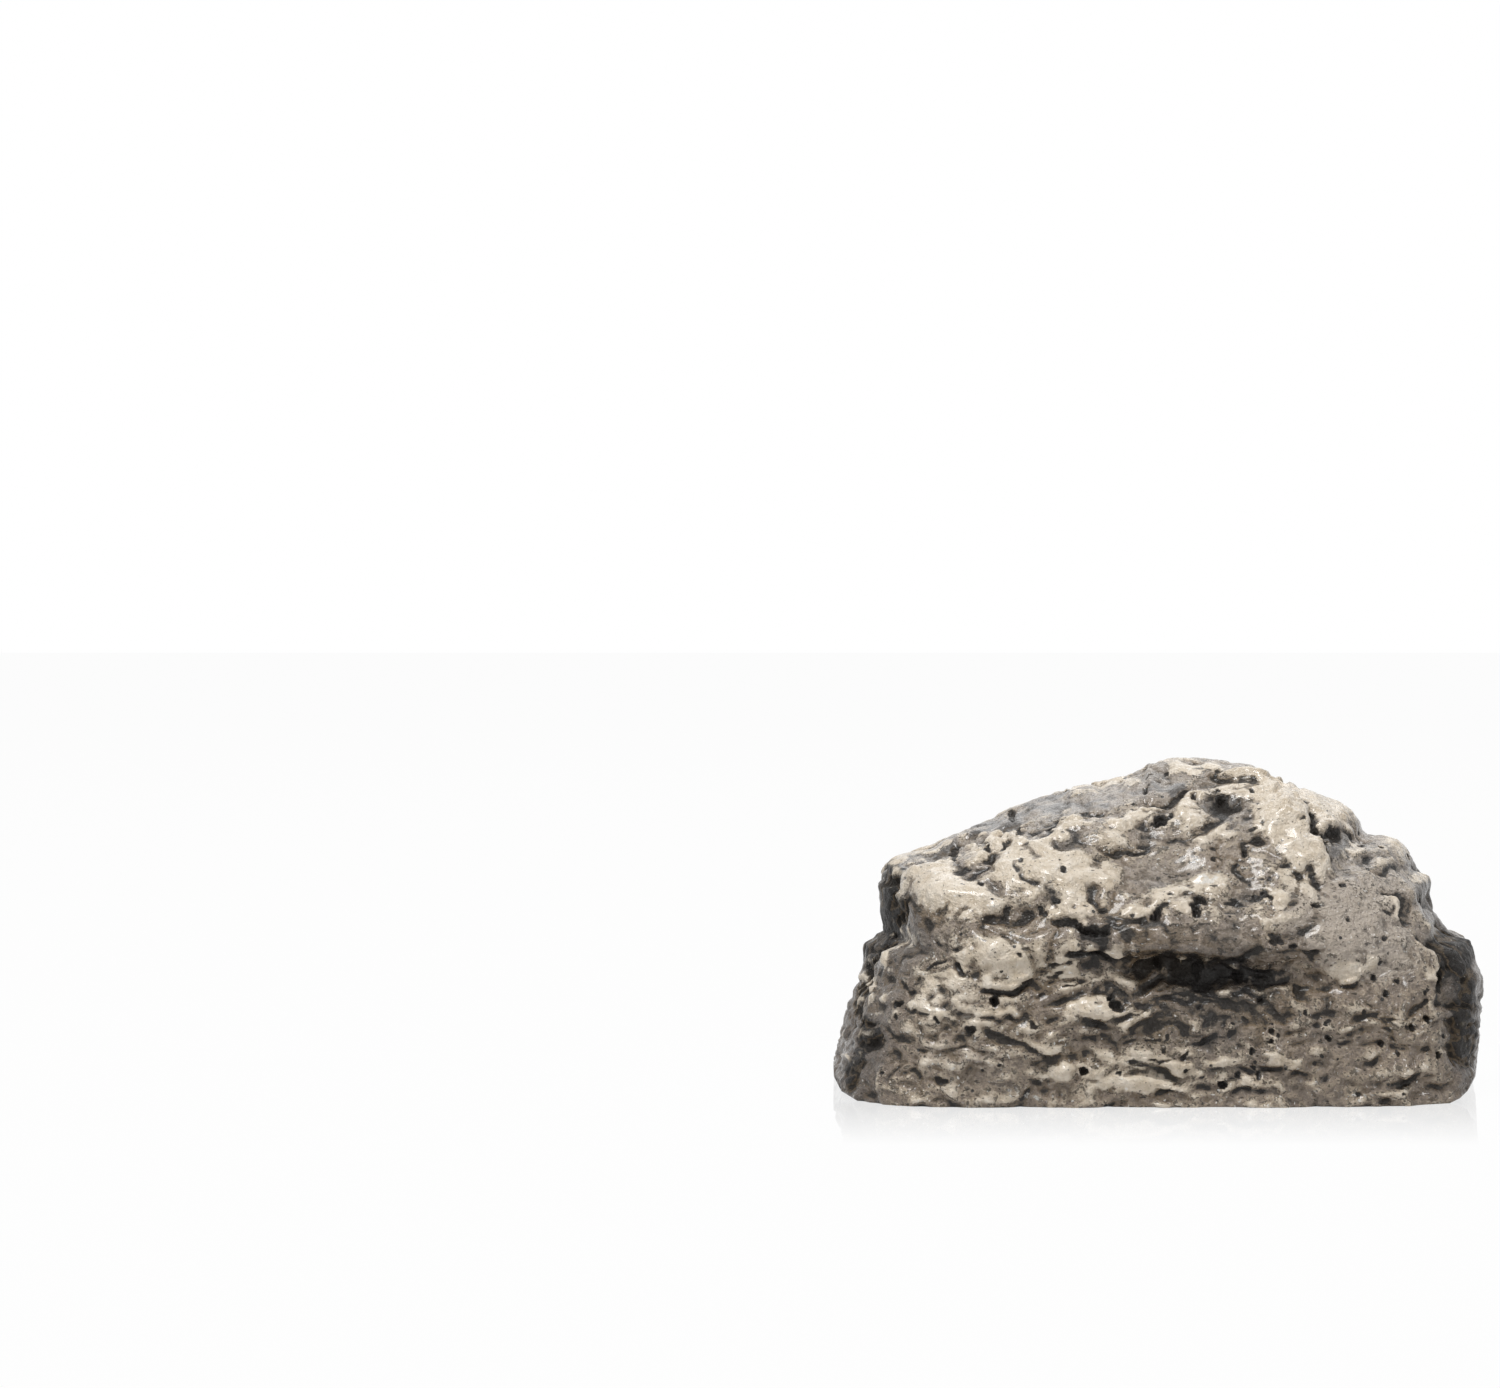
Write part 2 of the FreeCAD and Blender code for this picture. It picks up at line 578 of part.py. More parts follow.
def make_case_space():
    """The room that the case takes up in the stone, with its casting gap."""
    body = new_body("case_space")
    recess = rounded_rectangle(body, "recess_line", "0 - case_sink", "flange_x + casting_gap",
                               "0 - flange_y - casting_gap", "flange_y + casting_gap",
                               "flange_corner + casting_gap")
    pad(body, "recess", recess, "flange_top + case_sink")
    hollow = rounded_rectangle(body, "hollow_line", "flange_top",
                               "key_room_x + case_wall + casting_gap",
                               "0 - key_room_y - case_wall - casting_gap",
                               "key_room_y + case_wall + casting_gap",
                               "key_room_corner + case_wall + casting_gap")
    pad(body, "hollow", hollow, "case_top - flange_top + casting_gap")
    return body


def make_stone():
    """The casting: level lines joined by one smooth skin, hollowed for the case."""
    lines = []
    for number, curve in enumerate(level_curves()):
        line = doc.addObject("Part::Feature", "level_%02d" % number)
        line.Shape = curve
        lines.append(line)
    skin = doc.addObject("Part::Loft", "stone_form")
    skin.Sections = lines
    skin.Solid = True
    skin.Ruled = False
    holes = [make_case_space()]
    for side_x, side_y in CORNERS:
        holes.append(cylinder(corner_name(side_x, side_y) + "_pilot",
                              "screw_shank_radius + screw_pilot_gap",
                              "screw_shank_length + casting_gap", "screw_x * %d" % side_x,
                              "strip_y * %d" % side_y, "screw_seat"))
    stone = cut("rock_shell", skin, fuse("stone_hollows", holes))
    stone.Label = "rock_shell"
    return stone


# ---------------------------------------------------------------- checks and files

def write_parts(pieces):
    """Stop on any failed object, then write each piece to its own file."""
    doc.recompute()
    for item in doc.Objects:
        if "Invalid" in item.State or "Error" in item.State:
            raise RuntimeError("%s failed: %s" % (item.Name, item.State))
    os.makedirs("parts", exist_ok=True)
    for piece in pieces:
        shape = piece.Shape
        if shape.isNull() or not shape.isValid():
            raise RuntimeError("%s has no valid shape" % piece.Label)
        shape.exportStep("parts/%s.step" % piece.Label)
        print("%-14s %d solids %9.1f mm3" % (piece.Label, len(shape.Solids), shape.Volume))


fill_sheet()
write_parts([make_stone(), make_case(), make_lid(), make_pin(), make_catch(), make_gasket(),
             make_pad(), make_screws()])
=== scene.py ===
"""The looks of the hide-a-key rock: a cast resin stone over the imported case, lid and catch."""

import math
from itertools import product

import bpy
import numpy as np
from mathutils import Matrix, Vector


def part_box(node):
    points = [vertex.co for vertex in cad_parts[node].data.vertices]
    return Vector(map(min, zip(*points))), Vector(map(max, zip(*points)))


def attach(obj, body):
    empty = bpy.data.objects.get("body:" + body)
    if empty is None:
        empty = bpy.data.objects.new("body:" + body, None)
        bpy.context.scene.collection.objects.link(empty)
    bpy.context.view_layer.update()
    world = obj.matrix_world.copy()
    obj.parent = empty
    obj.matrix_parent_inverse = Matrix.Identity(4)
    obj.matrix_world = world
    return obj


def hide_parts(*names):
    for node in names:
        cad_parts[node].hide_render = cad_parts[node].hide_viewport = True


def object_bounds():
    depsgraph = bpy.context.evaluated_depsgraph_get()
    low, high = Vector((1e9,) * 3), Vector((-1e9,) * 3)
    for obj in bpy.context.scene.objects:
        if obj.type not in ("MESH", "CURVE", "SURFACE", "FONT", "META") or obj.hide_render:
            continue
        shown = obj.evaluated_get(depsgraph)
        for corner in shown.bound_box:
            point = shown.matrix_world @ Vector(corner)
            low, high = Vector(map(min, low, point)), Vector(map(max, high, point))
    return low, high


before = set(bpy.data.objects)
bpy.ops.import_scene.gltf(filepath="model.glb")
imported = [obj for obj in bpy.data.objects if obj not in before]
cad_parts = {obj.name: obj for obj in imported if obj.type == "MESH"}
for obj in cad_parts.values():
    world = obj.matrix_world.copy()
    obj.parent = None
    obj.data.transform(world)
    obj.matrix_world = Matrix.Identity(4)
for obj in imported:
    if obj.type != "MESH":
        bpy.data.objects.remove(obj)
cad_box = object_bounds()

MM = 0.001

# ------------------------------------------------------------------ camera, floor and light

PICTURE_WIDTH = 1500        # pixels
FOCAL_LENGTH = 4090         # pixels
SENSOR_WIDTH = 36.0
CAMERA_PLACE = (-0.0539, -0.540, 0.0674)
CAMERA_TILT = 1.67          # degrees down
CLIP_START = 0.01
LIT_PLACE = (0, 0, 0.02)    # where the lights point
SOFTBOXES = (
    # name, place, side, watts
    ("key_light", (-0.20, -0.28, 0.88), 0.30, 6.2),
    ("fill_light", (0.60, -0.60, 0.30), 0.60, 0.45),
    ("rim_light", (0.10, 0.60, 0.70), 0.60, 1.9),
    ("left_glint", (-0.50, -0.80, 0.32), 0.05, 0.65),
    ("right_glint", (0.62, -0.70, 0.28), 0.05, 0.65),
)
AMBIENT = 0.13              # the studio's own light on the stone
WHITE = (1, 1, 1, 1)
TABLE_SIDE = 6
TABLE_GREY = (0.55, 0.55, 0.55, 1)
TABLE_GLOW = 0.97
TABLE_GLOSS = 0.26          # at the stone's foot
TABLE_ROUGHNESS = 0.03
GLOSSY_HALVES = (("X", 38), ("Y", 22))      # mm from the middle to where the gloss starts to fade
GLOSS_FADE = 36.0           # mm further on, where the table is matt


def add_object(name, data):
    thing = bpy.data.objects.new(name, data)
    bpy.context.scene.collection.objects.link(thing)
    return thing


def set_camera():
    data = bpy.data.cameras.new("camera")
    data.sensor_width = SENSOR_WIDTH
    data.lens = SENSOR_WIDTH * FOCAL_LENGTH / PICTURE_WIDTH
    data.clip_start = CLIP_START
    camera = add_object("camera", data)
    camera.location = CAMERA_PLACE
    camera.rotation_euler = (math.radians(90 - CAMERA_TILT), 0, 0)
    bpy.context.scene.camera = camera


def add_softbox(name, place, side, watts):
    """A square studio light that faces the stone."""
    data = bpy.data.lights.new(name, "AREA")
    data.shape = "SQUARE"
    data.size = side
    data.energy = watts
    lamp = add_object(name, data)
    lamp.location = place
    lamp.rotation_euler = (Vector(LIT_PLACE) - lamp.location).to_track_quat("-Z", "Y").to_euler()


# ------------------------------------------------------------------ shader expressions

class Wire:
    """A shader socket that takes part in expressions."""

    def __init__(self, shader, socket):
        self.shader = shader
        self.socket = socket

    def math(self, operation, *others):
        values = dict(enumerate((self,) + others))
        return self.shader.node("ShaderNodeMath", {"operation": operation}, values)

    def __add__(self, other):
        return self.math("ADD", other)

    def __sub__(self, other):
        return self.math("SUBTRACT", other)

    def __mul__(self, other):
        return self.math("MULTIPLY", other)

    def __truediv__(self, other):
        return self.math("DIVIDE", other)

    def __pow__(self, other):
        return self.math("POWER", other)

    def __rsub__(self, other):
        return (self * -1) + other

    def __rtruediv__(self, other):
        return (self ** -1) * other

    __radd__ = __add__
    __rmul__ = __mul__

    def clamp(self):
        return self.math("MAXIMUM", 0.0).math("MINIMUM", 1.0)

    def size(self):
        return self.math("ABSOLUTE")

    def step(self, low, high):
        """0 at low, 1 at high and smooth between them."""
        return self.shader.node("ShaderNodeMapRange", {"interpolation_type": "SMOOTHSTEP"},
                                {"Value": self, "From Min": low, "From Max": high})


class Shader:
    """A material or world made of expressions."""

    def __init__(self, owner):
        owner.use_nodes = True
        self.owner = owner
        self.tree = owner.node_tree
        self.tree.nodes.clear()

    def node(self, kind, settings=None, sockets=None, output=0):
        """Any node: its settings first, then the values or links of its sockets."""
        node = self.tree.nodes.new(kind)
        for name, value in (settings or {}).items():
            setattr(node, name, value)
        for name, value in (sockets or {}).items():
            if isinstance(value, Wire):
                self.tree.links.new(value.socket, node.inputs[name])
            else:
                node.inputs[name].default_value = value
        return Wire(self, node.outputs[output]) if node.outputs else None

    def attribute(self, name):
        return self.node("ShaderNodeAttribute", {"attribute_name": name}, output="Fac")

    def place(self):
        return self.node("ShaderNodeTexCoord", output="Object")

    def along(self, axis):
        return self.node("ShaderNodeSeparateXYZ", {}, {"Vector": self.place()}, axis)

    def noise(self, size, detail=2.0, rough=0.5, stretch=(1, 1, 1)):
        """Cloudy noise whose features are about this many millimetres across."""
        scaled = self.node("ShaderNodeVectorMath", {"operation": "MULTIPLY"},
                           {0: self.place(), 1: stretch})
        return self.node("ShaderNodeTexNoise", {},
                         {"Vector": scaled, "Scale": 1 / (size * MM), "Detail": detail,
                          "Roughness": rough})

    def cells(self, size):
        """The distance from the middle of the nearest cell."""
        return self.node("ShaderNodeTexVoronoi", {"feature": "F1"},
                         {"Vector": self.place(), "Scale": 1 / (size * MM)})

    def mix(self, factor, first, second):
        """Colours mixed by a factor; they are (r, g, b, 1) or wires."""
        return self.node("ShaderNodeMix", {"data_type": "RGBA"},
                         {"Factor": factor, 6: first, 7: second}, output=2)

    def blend(self, factor, first, second):
        return self.node("ShaderNodeMixShader", {}, {0: factor, 1: first, 2: second})

    def bump(self, height, distance, strength=1.0):
        return self.node("ShaderNodeBump", {},
                         {"Height": height, "Distance": distance * MM, "Strength": strength})

    def surface(self, **sockets):
        names = {key.replace("_", " "): value for key, value in sockets.items()}
        return self.end(self.node("ShaderNodeBsdfPrincipled", {}, names))

    def end(self, surface):
        kind = "World" if isinstance(self.owner, bpy.types.World) else "Material"
        self.node("ShaderNodeOutput" + kind, {}, {"Surface": surface})
        return self.owner


def paint(*levels):
    """A colour given as red, green and blue screen values, 0 to 255."""
    shares = [level / 255 for level in levels]
    light = [share / 12.92 if share <= 0.04045 else ((share + 0.055) / 1.055) ** 2.4 for share in shares]
    return (*light, 1.0)


def tint(colour, change):
    """A colour made lighter or darker by so many screen values."""
    return paint(*[level + change for level in colour])


def new_finish(name):
    """The shader of a new material."""
    return Shader(bpy.data.materials.new(name))


# ------------------------------------------------------------------ floor and studio

def seen_rays(shader):
    """1 for rays that the camera sees straight, in gloss or through glass."""
    straight, gloss, glass = (shader.node("ShaderNodeLightPath", output=name)
                              for name in ("Is Camera Ray", "Is Glossy Ray", "Is Transmission Ray"))
    return (straight + gloss + glass).clamp()


def white_table():
    """A matt white table that mirrors the stone faintly round its foot."""
    s = new_finish("white_table")
    matt = s.node("ShaderNodeBsdfDiffuse", {}, {"Color": TABLE_GREY})
    gloss = s.node("ShaderNodeBsdfAnisotropic", {}, {"Color": WHITE, "Roughness": TABLE_ROUGHNESS})
    glow = s.node("ShaderNodeEmission", {}, {"Color": WHITE, "Strength": 1.0})
    beyond = [(s.along(axis).size() - half * MM).math("MAXIMUM", 0.0) for axis, half in GLOSSY_HALVES]
    distance = (beyond[0] ** 2 + beyond[1] ** 2).math("SQRT") / (GLOSS_FADE * MM)
    polish = (1 - distance).clamp() * TABLE_GLOSS
    return s.end(s.blend(polish, s.blend(seen_rays(s) * TABLE_GLOW, matt, glow), gloss))


def set_stage():
    bpy.ops.mesh.primitive_plane_add(size=TABLE_SIDE)
    floor = bpy.context.object
    floor.name = "floor"
    floor.data.materials.append(white_table())
    world = bpy.data.worlds.new("studio")
    bpy.context.scene.world = world
    sky = Shader(world)
    strength = seen_rays(sky) * (1 - AMBIENT) + AMBIENT
    sky.end(sky.node("ShaderNodeBackground", {}, {"Color": WHITE, "Strength": strength}))
    for softbox in SOFTBOXES:
        add_softbox(*softbox)


# ------------------------------------------------------------------ fields over the stone

HASH_AXES = (73856093, 19349663, 83492791)
HASH_SEED = 97531
HASH_ROUNDS = ((15, 2246822519), (13, 3266489917))
HASH_MASK = 0xFFFFFFFF
SLOPE_SHIFTS = (2, 12, 21)  # where each axis's slope is in the hash, ten bits each
SLOPE_MASK = 1023


def ease(share):
    share = np.clip(share, 0, 1)
    return share * share * (3 - 2 * share)


def smooth(values, low, high):
    """0 at low, 1 at high and smooth between them."""
    return ease((values - low) / (high - low))


def lattice_noise(points, seed):
    """Gradient noise, about -1 to 1, with lumps one unit across."""
    cell = np.floor(points).astype(np.int64)
    inside = points - cell
    fade = inside ** 3 * (inside * (inside * 6 - 15) + 10)
    total = np.zeros(len(points))
    for corner in product((0, 1), repeat=3):
        at = cell + np.array(corner)
        key = seed * HASH_SEED
        for axis in range(3):
            key = key ^ at[:, axis] * HASH_AXES[axis]
        for shift, factor in HASH_ROUNDS:
            key = ((key ^ (key >> shift)) * factor) & HASH_MASK
        away = inside - np.array(corner)
        share = np.ones(len(points))
        slope = np.zeros(len(points))
        for axis, shift in enumerate(SLOPE_SHIFTS):
            slope += (((key >> shift) & SLOPE_MASK) / (SLOPE_MASK / 2) - 1) * away[:, axis]
            share *= fade[:, axis] if corner[axis] else 1 - fade[:, axis]
        total += slope * share
    return total * 1.4


def clouds(points, size, seed, layers=3, stretch=(1, 1, 1), shape=None, finer=0.50):
    """Layered noise; each layer is finer times as strong, and shape turns its values into creases."""
    total, weight, scale = 0.0, 0.0, 1.0
    for layer in range(layers):
        value = lattice_noise(points * np.array(stretch) / (size * 0.5 ** layer), seed + layer * 17)
        total = total + scale * (shape(value) if shape else value)
        weight += scale
        scale *= finer
    return total / weight


def billow(value):
    """Round lumps with sharp creases between them, about -1 to 1."""
    return np.abs(value) * 3.0 - 1


def sagging(places, size, seed, layers, sag, **options):
    """Noise whose lumps hang down: gentle on top and steep underneath."""
    first = clouds(places, size, seed, 2, **options)
    lifted = places + np.outer(first, (0, 0, sag))
    return clouds(lifted, size, seed, layers, **options)


def unit(vectors):
    return vectors / np.maximum(np.linalg.norm(vectors, axis=-1, keepdims=True), 1e-9)


def vertex_normals(places, triangles):
    """Outward directions at the vertices of a triangle mesh."""
    corners = places[triangles]
    faces = np.cross(corners[:, 1] - corners[:, 0], corners[:, 2] - corners[:, 0])
    total = np.zeros(places.shape)
    for corner, axis in product(range(3), repeat=2):
        total[:, axis] += np.bincount(triangles[:, corner], faces[:, axis], len(places))
    return unit(total)


class Softener:
    """Averages a field with its neighbours over a triangle mesh."""

    def __init__(self, triangles, count):
        edges = np.vstack([triangles[:, (0, 1)], triangles[:, (1, 2)], triangles[:, (2, 0)]])
        edges = np.unique(np.sort(edges, axis=1), axis=0)
        self.start, self.end = edges[:, 0], edges[:, 1]
        self.count = count
        self.ends = np.bincount(edges.ravel(), minlength=count)

    def soften(self, field, passes):
        for _ in range(passes):
            total = np.bincount(self.start, field[self.end], self.count)
            total += np.bincount(self.end, field[self.start], self.count)
            field = (field + total / self.ends) / 2
        return field


# ------------------------------------------------------------------ the stone's form

COLUMNS = 640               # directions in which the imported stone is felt
RINGS = 240                 # from the peak to the foot
SECTORS = 4                 # ring n has 4 n points
HEART = np.array([4.0, 1.0, 8.0])       # mm, a point inside that sees all of the outside
FEELER = 120.0              # mm from the heart, where each feeler starts
FEELER_RISES = np.linspace(math.pi / 2, -0.5, 200)
LOWEST_TOUCH = 0.3          # mm
FOOT_SLICE = 0.02           # mm, the height at which the foot's outline is taken
FORM_SOFTENING = 30
FOOT_GAIN = 0.010           # how much the foot stands out, as a share of its distance from the middle
FOOT_HEIGHT = 2.0
PLAN_FULLNESS = 3.2
CORNER_SIDES = (4, 22)      # mm from the middle, over which the corners come in
CORNER_FRONT = (0, 8)
CORNER_FULLNESS = (
    # side, how square, its height where it starts to fade and where it has faded
    (-1, 3.6, 20, 33),
    (1, 3.3, 14, 28),
)
RECESS = (33.4, 19.5, 5.3)              # half length, half width and corner, mm
RECESS_DEPTH = 4.1
RECESS_EDGE = 0.25
HOLLOW = (31.1, 14.6, 4.7)
HOLLOW_DEPTH = 19.8
BASE_SHARES = (0.25, 0.5, 0.75)         # rings on the flat base, between the foot and the recess
UNDERSIDE = (
    # shape, how far outside it, height
    (RECESS, RECESS_EDGE, 0.0), (RECESS, 0.0, RECESS_EDGE), (RECESS, 0.0, RECESS_DEPTH / 2),
    (RECESS, 0.0, RECESS_DEPTH), (HOLLOW, 1.0, RECESS_DEPTH), (HOLLOW, 0.0, RECESS_DEPTH),
    (HOLLOW, 0.0, HOLLOW_DEPTH / 2), (HOLLOW, 0.0, HOLLOW_DEPTH), (HOLLOW, -HOLLOW[1] / 2, HOLLOW_DEPTH),
)
HALVINGS = 40               # of the gap in which an outline is searched for
OUTLINE_HEART = (2.0, 0.0)
OUTLINE_BINS = 150
OUTLINE_GRIP = 4            # the more, the nearer to its edge the stone is pushed
OUTLINE_START = (0, 4)      # mm up, over which the outline takes hold
OUTLINE = (
    # the stone's outline from the front, in mm across and up, from its right foot over its top
    (42.2, 0), (42.5, 3.5), (42.8, 6), (43, 9), (43.3, 12), (43.2, 14.2), (42.3, 16), (42, 17.5),
    (41.5, 19), (40, 20), (38, 21.2), (36.7, 22.8), (36.2, 25.5), (36.4, 26.8), (36, 27.5), (34.5, 28.5),
    (33.8, 29.8), (33, 31.3), (32, 32.3), (30.5, 33), (27.5, 33.3), (27.2, 33.8), (26.8, 35), (25.5, 36.5),
    (24, 37.5), (20, 39), (18, 39.8), (15, 41.3), (12.5, 42.3), (8, 43), (5, 43.3), (2, 43.3), (-1, 42.6),
    (-4, 41), (-8, 40.1), (-11, 39.5), (-15, 38.3), (-20, 36.5), (-22, 35.3), (-25, 34), (-30, 32),
    (-34.5, 30.5), (-36, 29.3), (-36.8, 28), (-37.1, 26.5), (-37, 24), (-36.5, 20.5), (-37.5, 19.8),
    (-38.8, 18.8), (-39.1, 17.5), (-39, 16), (-40, 13), (-41, 10.8), (-42, 7), (-42.9, 3), (-42.9, 1),
    (-42.5, 0),
)
FOOT_TRIM = (3, 6)          # mm up, over which the foot's outline lets go
FOOT_OUTLINE = (
    # up, left end, right end
    (-3.4, -37.0, 36.5), (-3.0, -38.6, 38.2), (-2.0, -40.2, 40.2), (-1.0, -41.8, 41.2),
    (1.0, -42.8, 42.2), (3.5, -42.9, 42.6),
)


def feel_profile(stone, turn):
    """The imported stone's outline in one upright half-plane, from the peak to the foot, in mm."""
    across = np.array([math.cos(turn), math.sin(turn), 0.0])
    places = []
    for rise in FEELER_RISES:
        ray = across * math.cos(rise) + np.array([0, 0, math.sin(rise)])
        hit, place, _, _ = stone.ray_cast(Vector((HEART + ray * FEELER) * MM), Vector(-ray))
        if not hit or place.z < LOWEST_TOUCH * MM:
            break
        places.append(np.array(place) / MM)
    start = np.array([HEART[0], HEART[1], FOOT_SLICE]) + across * FEELER
    _, place, _, _ = stone.ray_cast(Vector(start * MM), Vector(-across))
    foot = np.array(place) / MM
    foot[2] = 0.0
    places.append(foot)
    return np.array(places)


def even_points(places, count):
    """Points evenly spaced along a line of places."""
    steps = np.linalg.norm(np.diff(places, axis=0), axis=1)
    run = np.concatenate([[0], np.cumsum(steps)])
    at = np.linspace(0, run[-1], count)
    return np.stack([np.interp(at, run, places[:, axis]) for axis in range(3)], axis=1)


def stone_form():
    """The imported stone's outside as profiles in even directions, softened free of its facets."""
    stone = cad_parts["rock_shell"]
    size = cad_box[1] - cad_box[0]
    even = np.linspace(0, 2 * math.pi, COLUMNS, endpoint=False)
    turns = np.arctan2(size.y * np.sin(even), size.x * np.cos(even))
    form = np.array([even_points(feel_profile(stone, turn), RINGS + 1) for turn in turns])
    for _ in range(FORM_SOFTENING):
        form = (np.roll(form, 1, 0) + 2 * form + np.roll(form, -1, 0)) / 4
        inner = (form[:, :-2] + 2 * form[:, 1:-1] + form[:, 2:]) / 4
        form = np.concatenate([form[:, :1], inner, form[:, -1:]], axis=1)
    form[:, 0] = form[:, 0].mean(axis=0)
    form[..., :2] *= (1 + FOOT_GAIN * (1 - smooth(form[..., 2], 0.0, FOOT_HEIGHT)))[..., None]
    return square_corners(form)


def square_corners(form):
    """The front corners of the stone stand out further than a plain oblong's."""
    half = (cad_box[1] - cad_box[0]) / MM / 2
    c, s = form[..., 0] / half.x, form[..., 1] / half.y
    reach = np.hypot(c, s)
    c, s = np.abs(c) / np.maximum(reach, 1e-6), np.abs(s) / np.maximum(reach, 1e-6)
    for side, sharpness, low, high in CORNER_FULLNESS:
        before = (c ** PLAN_FULLNESS + s ** PLAN_FULLNESS) ** (1 / PLAN_FULLNESS)
        after = (c ** sharpness + s ** sharpness) ** (1 / sharpness)
        here = smooth(form[..., 0] * side, *CORNER_SIDES) * smooth(-form[..., 1], *CORNER_FRONT)
        here = here * smooth(-form[..., 2], -high, -low)
        form[..., :2] *= (1 + (before / after - 1) * here)[..., None]
    return form


def front_place(places):
    """Where places are seen from the front, in mm on the upright plane through the middle."""
    eye = np.array(CAMERA_PLACE) / MM
    depth = -eye[1] / (places[:, 1] - eye[1])
    return eye[0] + (places[:, 0] - eye[0]) * depth, eye[2] + (places[:, 2] - eye[2]) * depth


def outline_reach(turns):
    """How far the outline is from its heart in each direction."""
    points = np.array(OUTLINE) - OUTLINE_HEART
    angles = np.arctan2(points[:, 1], points[:, 0])
    reach = np.zeros(len(turns))
    for (x0, y0), (x1, y1), a0, a1 in zip(points[:-1], points[1:], angles[:-1], angles[1:]):
        here = (turns >= min(a0, a1)) & (turns <= max(a0, a1))
        c, s = np.cos(turns[here]), np.sin(turns[here])
        reach[here] = np.maximum(reach[here], (x0 * y1 - x1 * y0) / (c * (y1 - y0) - s * (x1 - x0)))
    return reach


def fit_outline(placed):
    """Push or pull the skin, most at its edge as seen from the front, so that it has the outline."""
    across, up = front_place(placed)
    x, y = across - OUTLINE_HEART[0], up - OUTLINE_HEART[1]
    reach, turns = np.hypot(x, y), np.arctan2(y, x)
    bins = np.clip((turns / math.pi * OUTLINE_BINS).astype(int), 0, OUTLINE_BINS - 1)
    widest = np.zeros(OUTLINE_BINS)
    np.maximum.at(widest, bins[y > 0], reach[y > 0])
    middles = (np.arange(OUTLINE_BINS) + 0.5) * math.pi / OUTLINE_BINS
    ratio = outline_reach(middles) / widest
    change = np.interp(turns, middles, ratio) - 1
    share = np.clip(reach / np.interp(turns, middles, widest), 0, 1) ** OUTLINE_GRIP
    share = share * smooth(up, *OUTLINE_START)
    placed[:, 0] += change * share * x
    placed[:, 2] += change * share * y
    return placed


def trim_foot(placed):
    """Hold the foot inside its outline as seen from the front."""
    across, up = front_place(placed)
    ups, lefts, rights = np.array(FOOT_OUTLINE).T
    low = 1 - smooth(placed[:, 2], *FOOT_TRIM)
    beyond = np.maximum(across - np.interp(up, ups, rights), 0)
    beyond += np.minimum(across - np.interp(up, ups, lefts), 0)
    placed[:, 0] -= beyond * low
    return placed


def fit_box(placed):
    """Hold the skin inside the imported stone's box."""
    for axis in range(3):
        low, high = cad_box[0][axis] / MM, cad_box[1][axis] / MM
        shrink = min(1, high / placed[:, axis].max())
        if axis < 2:
            shrink = np.where(placed[:, axis] < 0, min(1, low / placed[:, axis].min()), shrink)
        placed[:, axis] *= shrink
    return placed


def ring_start(ring):
    """The first vertex of a ring; the peak is vertex 0."""
    return 1 + SECTORS * ring * (ring - 1) // 2


def skin_places(form):
    """The vertices of the outside, ring by ring, and how far round and down each one is."""
    places, rounds, downs = [form[:1, 0]], [np.zeros(1)], [np.zeros(1)]
    for ring in range(1, RINGS + 1):
        count = SECTORS * ring
        column = np.arange(count) * COLUMNS / count
        low = np.floor(column).astype(int)
        share = (column - low)[:, None]
        places.append(form[low, ring] * (1 - share) + form[(low + 1) % COLUMNS, ring] * share)
        rounds.append(np.arange(count) / count)
        downs.append(np.full(count, ring / RINGS))
    return np.vstack(places), np.concatenate(rounds), np.concatenate(downs)


def skin_triangles():
    """The triangles of the outside; each ring has one more step in each sector."""
    faces = [np.array([(0, 1 + i, 1 + (i + 1) % SECTORS) for i in range(SECTORS)])]
    for ring in range(1, RINGS):
        inner, outer = ring_start(ring), ring_start(ring + 1)
        for sector in range(SECTORS):
            step = np.arange(ring + 1)
            a = inner + (sector * ring + step) % (SECTORS * ring)
            b = outer + (sector * (ring + 1) + np.arange(ring + 2)) % (SECTORS * (ring + 1))
            faces.append(np.stack([a, b[:-1], b[1:]], axis=1))
            faces.append(np.stack([a[:-1], b[1:-1], a[1:]], axis=1))
    return np.vstack(faces)


def rounded_reach(turns, half_length, half_width, corner):
    """How far a rounded rectangle's outline is from its middle in each direction."""
    along, across = np.abs(np.cos(turns)), np.abs(np.sin(turns))
    near, far = np.zeros(len(turns)), np.full(len(turns), half_length + half_width)
    for _ in range(HALVINGS):
        middle = (near + far) / 2
        x = middle * along - (half_length - corner)
        y = middle * across - (half_width - corner)
        gap = np.hypot(np.maximum(x, 0), np.maximum(y, 0)) + np.minimum(np.maximum(x, y), 0) - corner
        near = np.where(gap < 0, middle, near)
        far = np.where(gap < 0, far, middle)
    return near


def level_ring(points, height):
    return np.column_stack([points, np.full(len(points), height)])


def underside_rings(foot):
    """Rings from the foot inwards: the flat base, the recess, its ledge and the hollow."""
    turns = np.arctan2(foot[:, 1], foot[:, 0])
    round_it = np.stack([np.cos(turns), np.sin(turns)], axis=1)

    def outline(shape, out, height):
        reach = rounded_reach(turns, *shape) + out
        return level_ring(round_it * reach[:, None], height)

    inner = [outline(*step) for step in UNDERSIDE]
    return [foot * (1 - share) + inner[0] * share for share in BASE_SHARES] + inner


# ------------------------------------------------------------------ work on the stone's skin

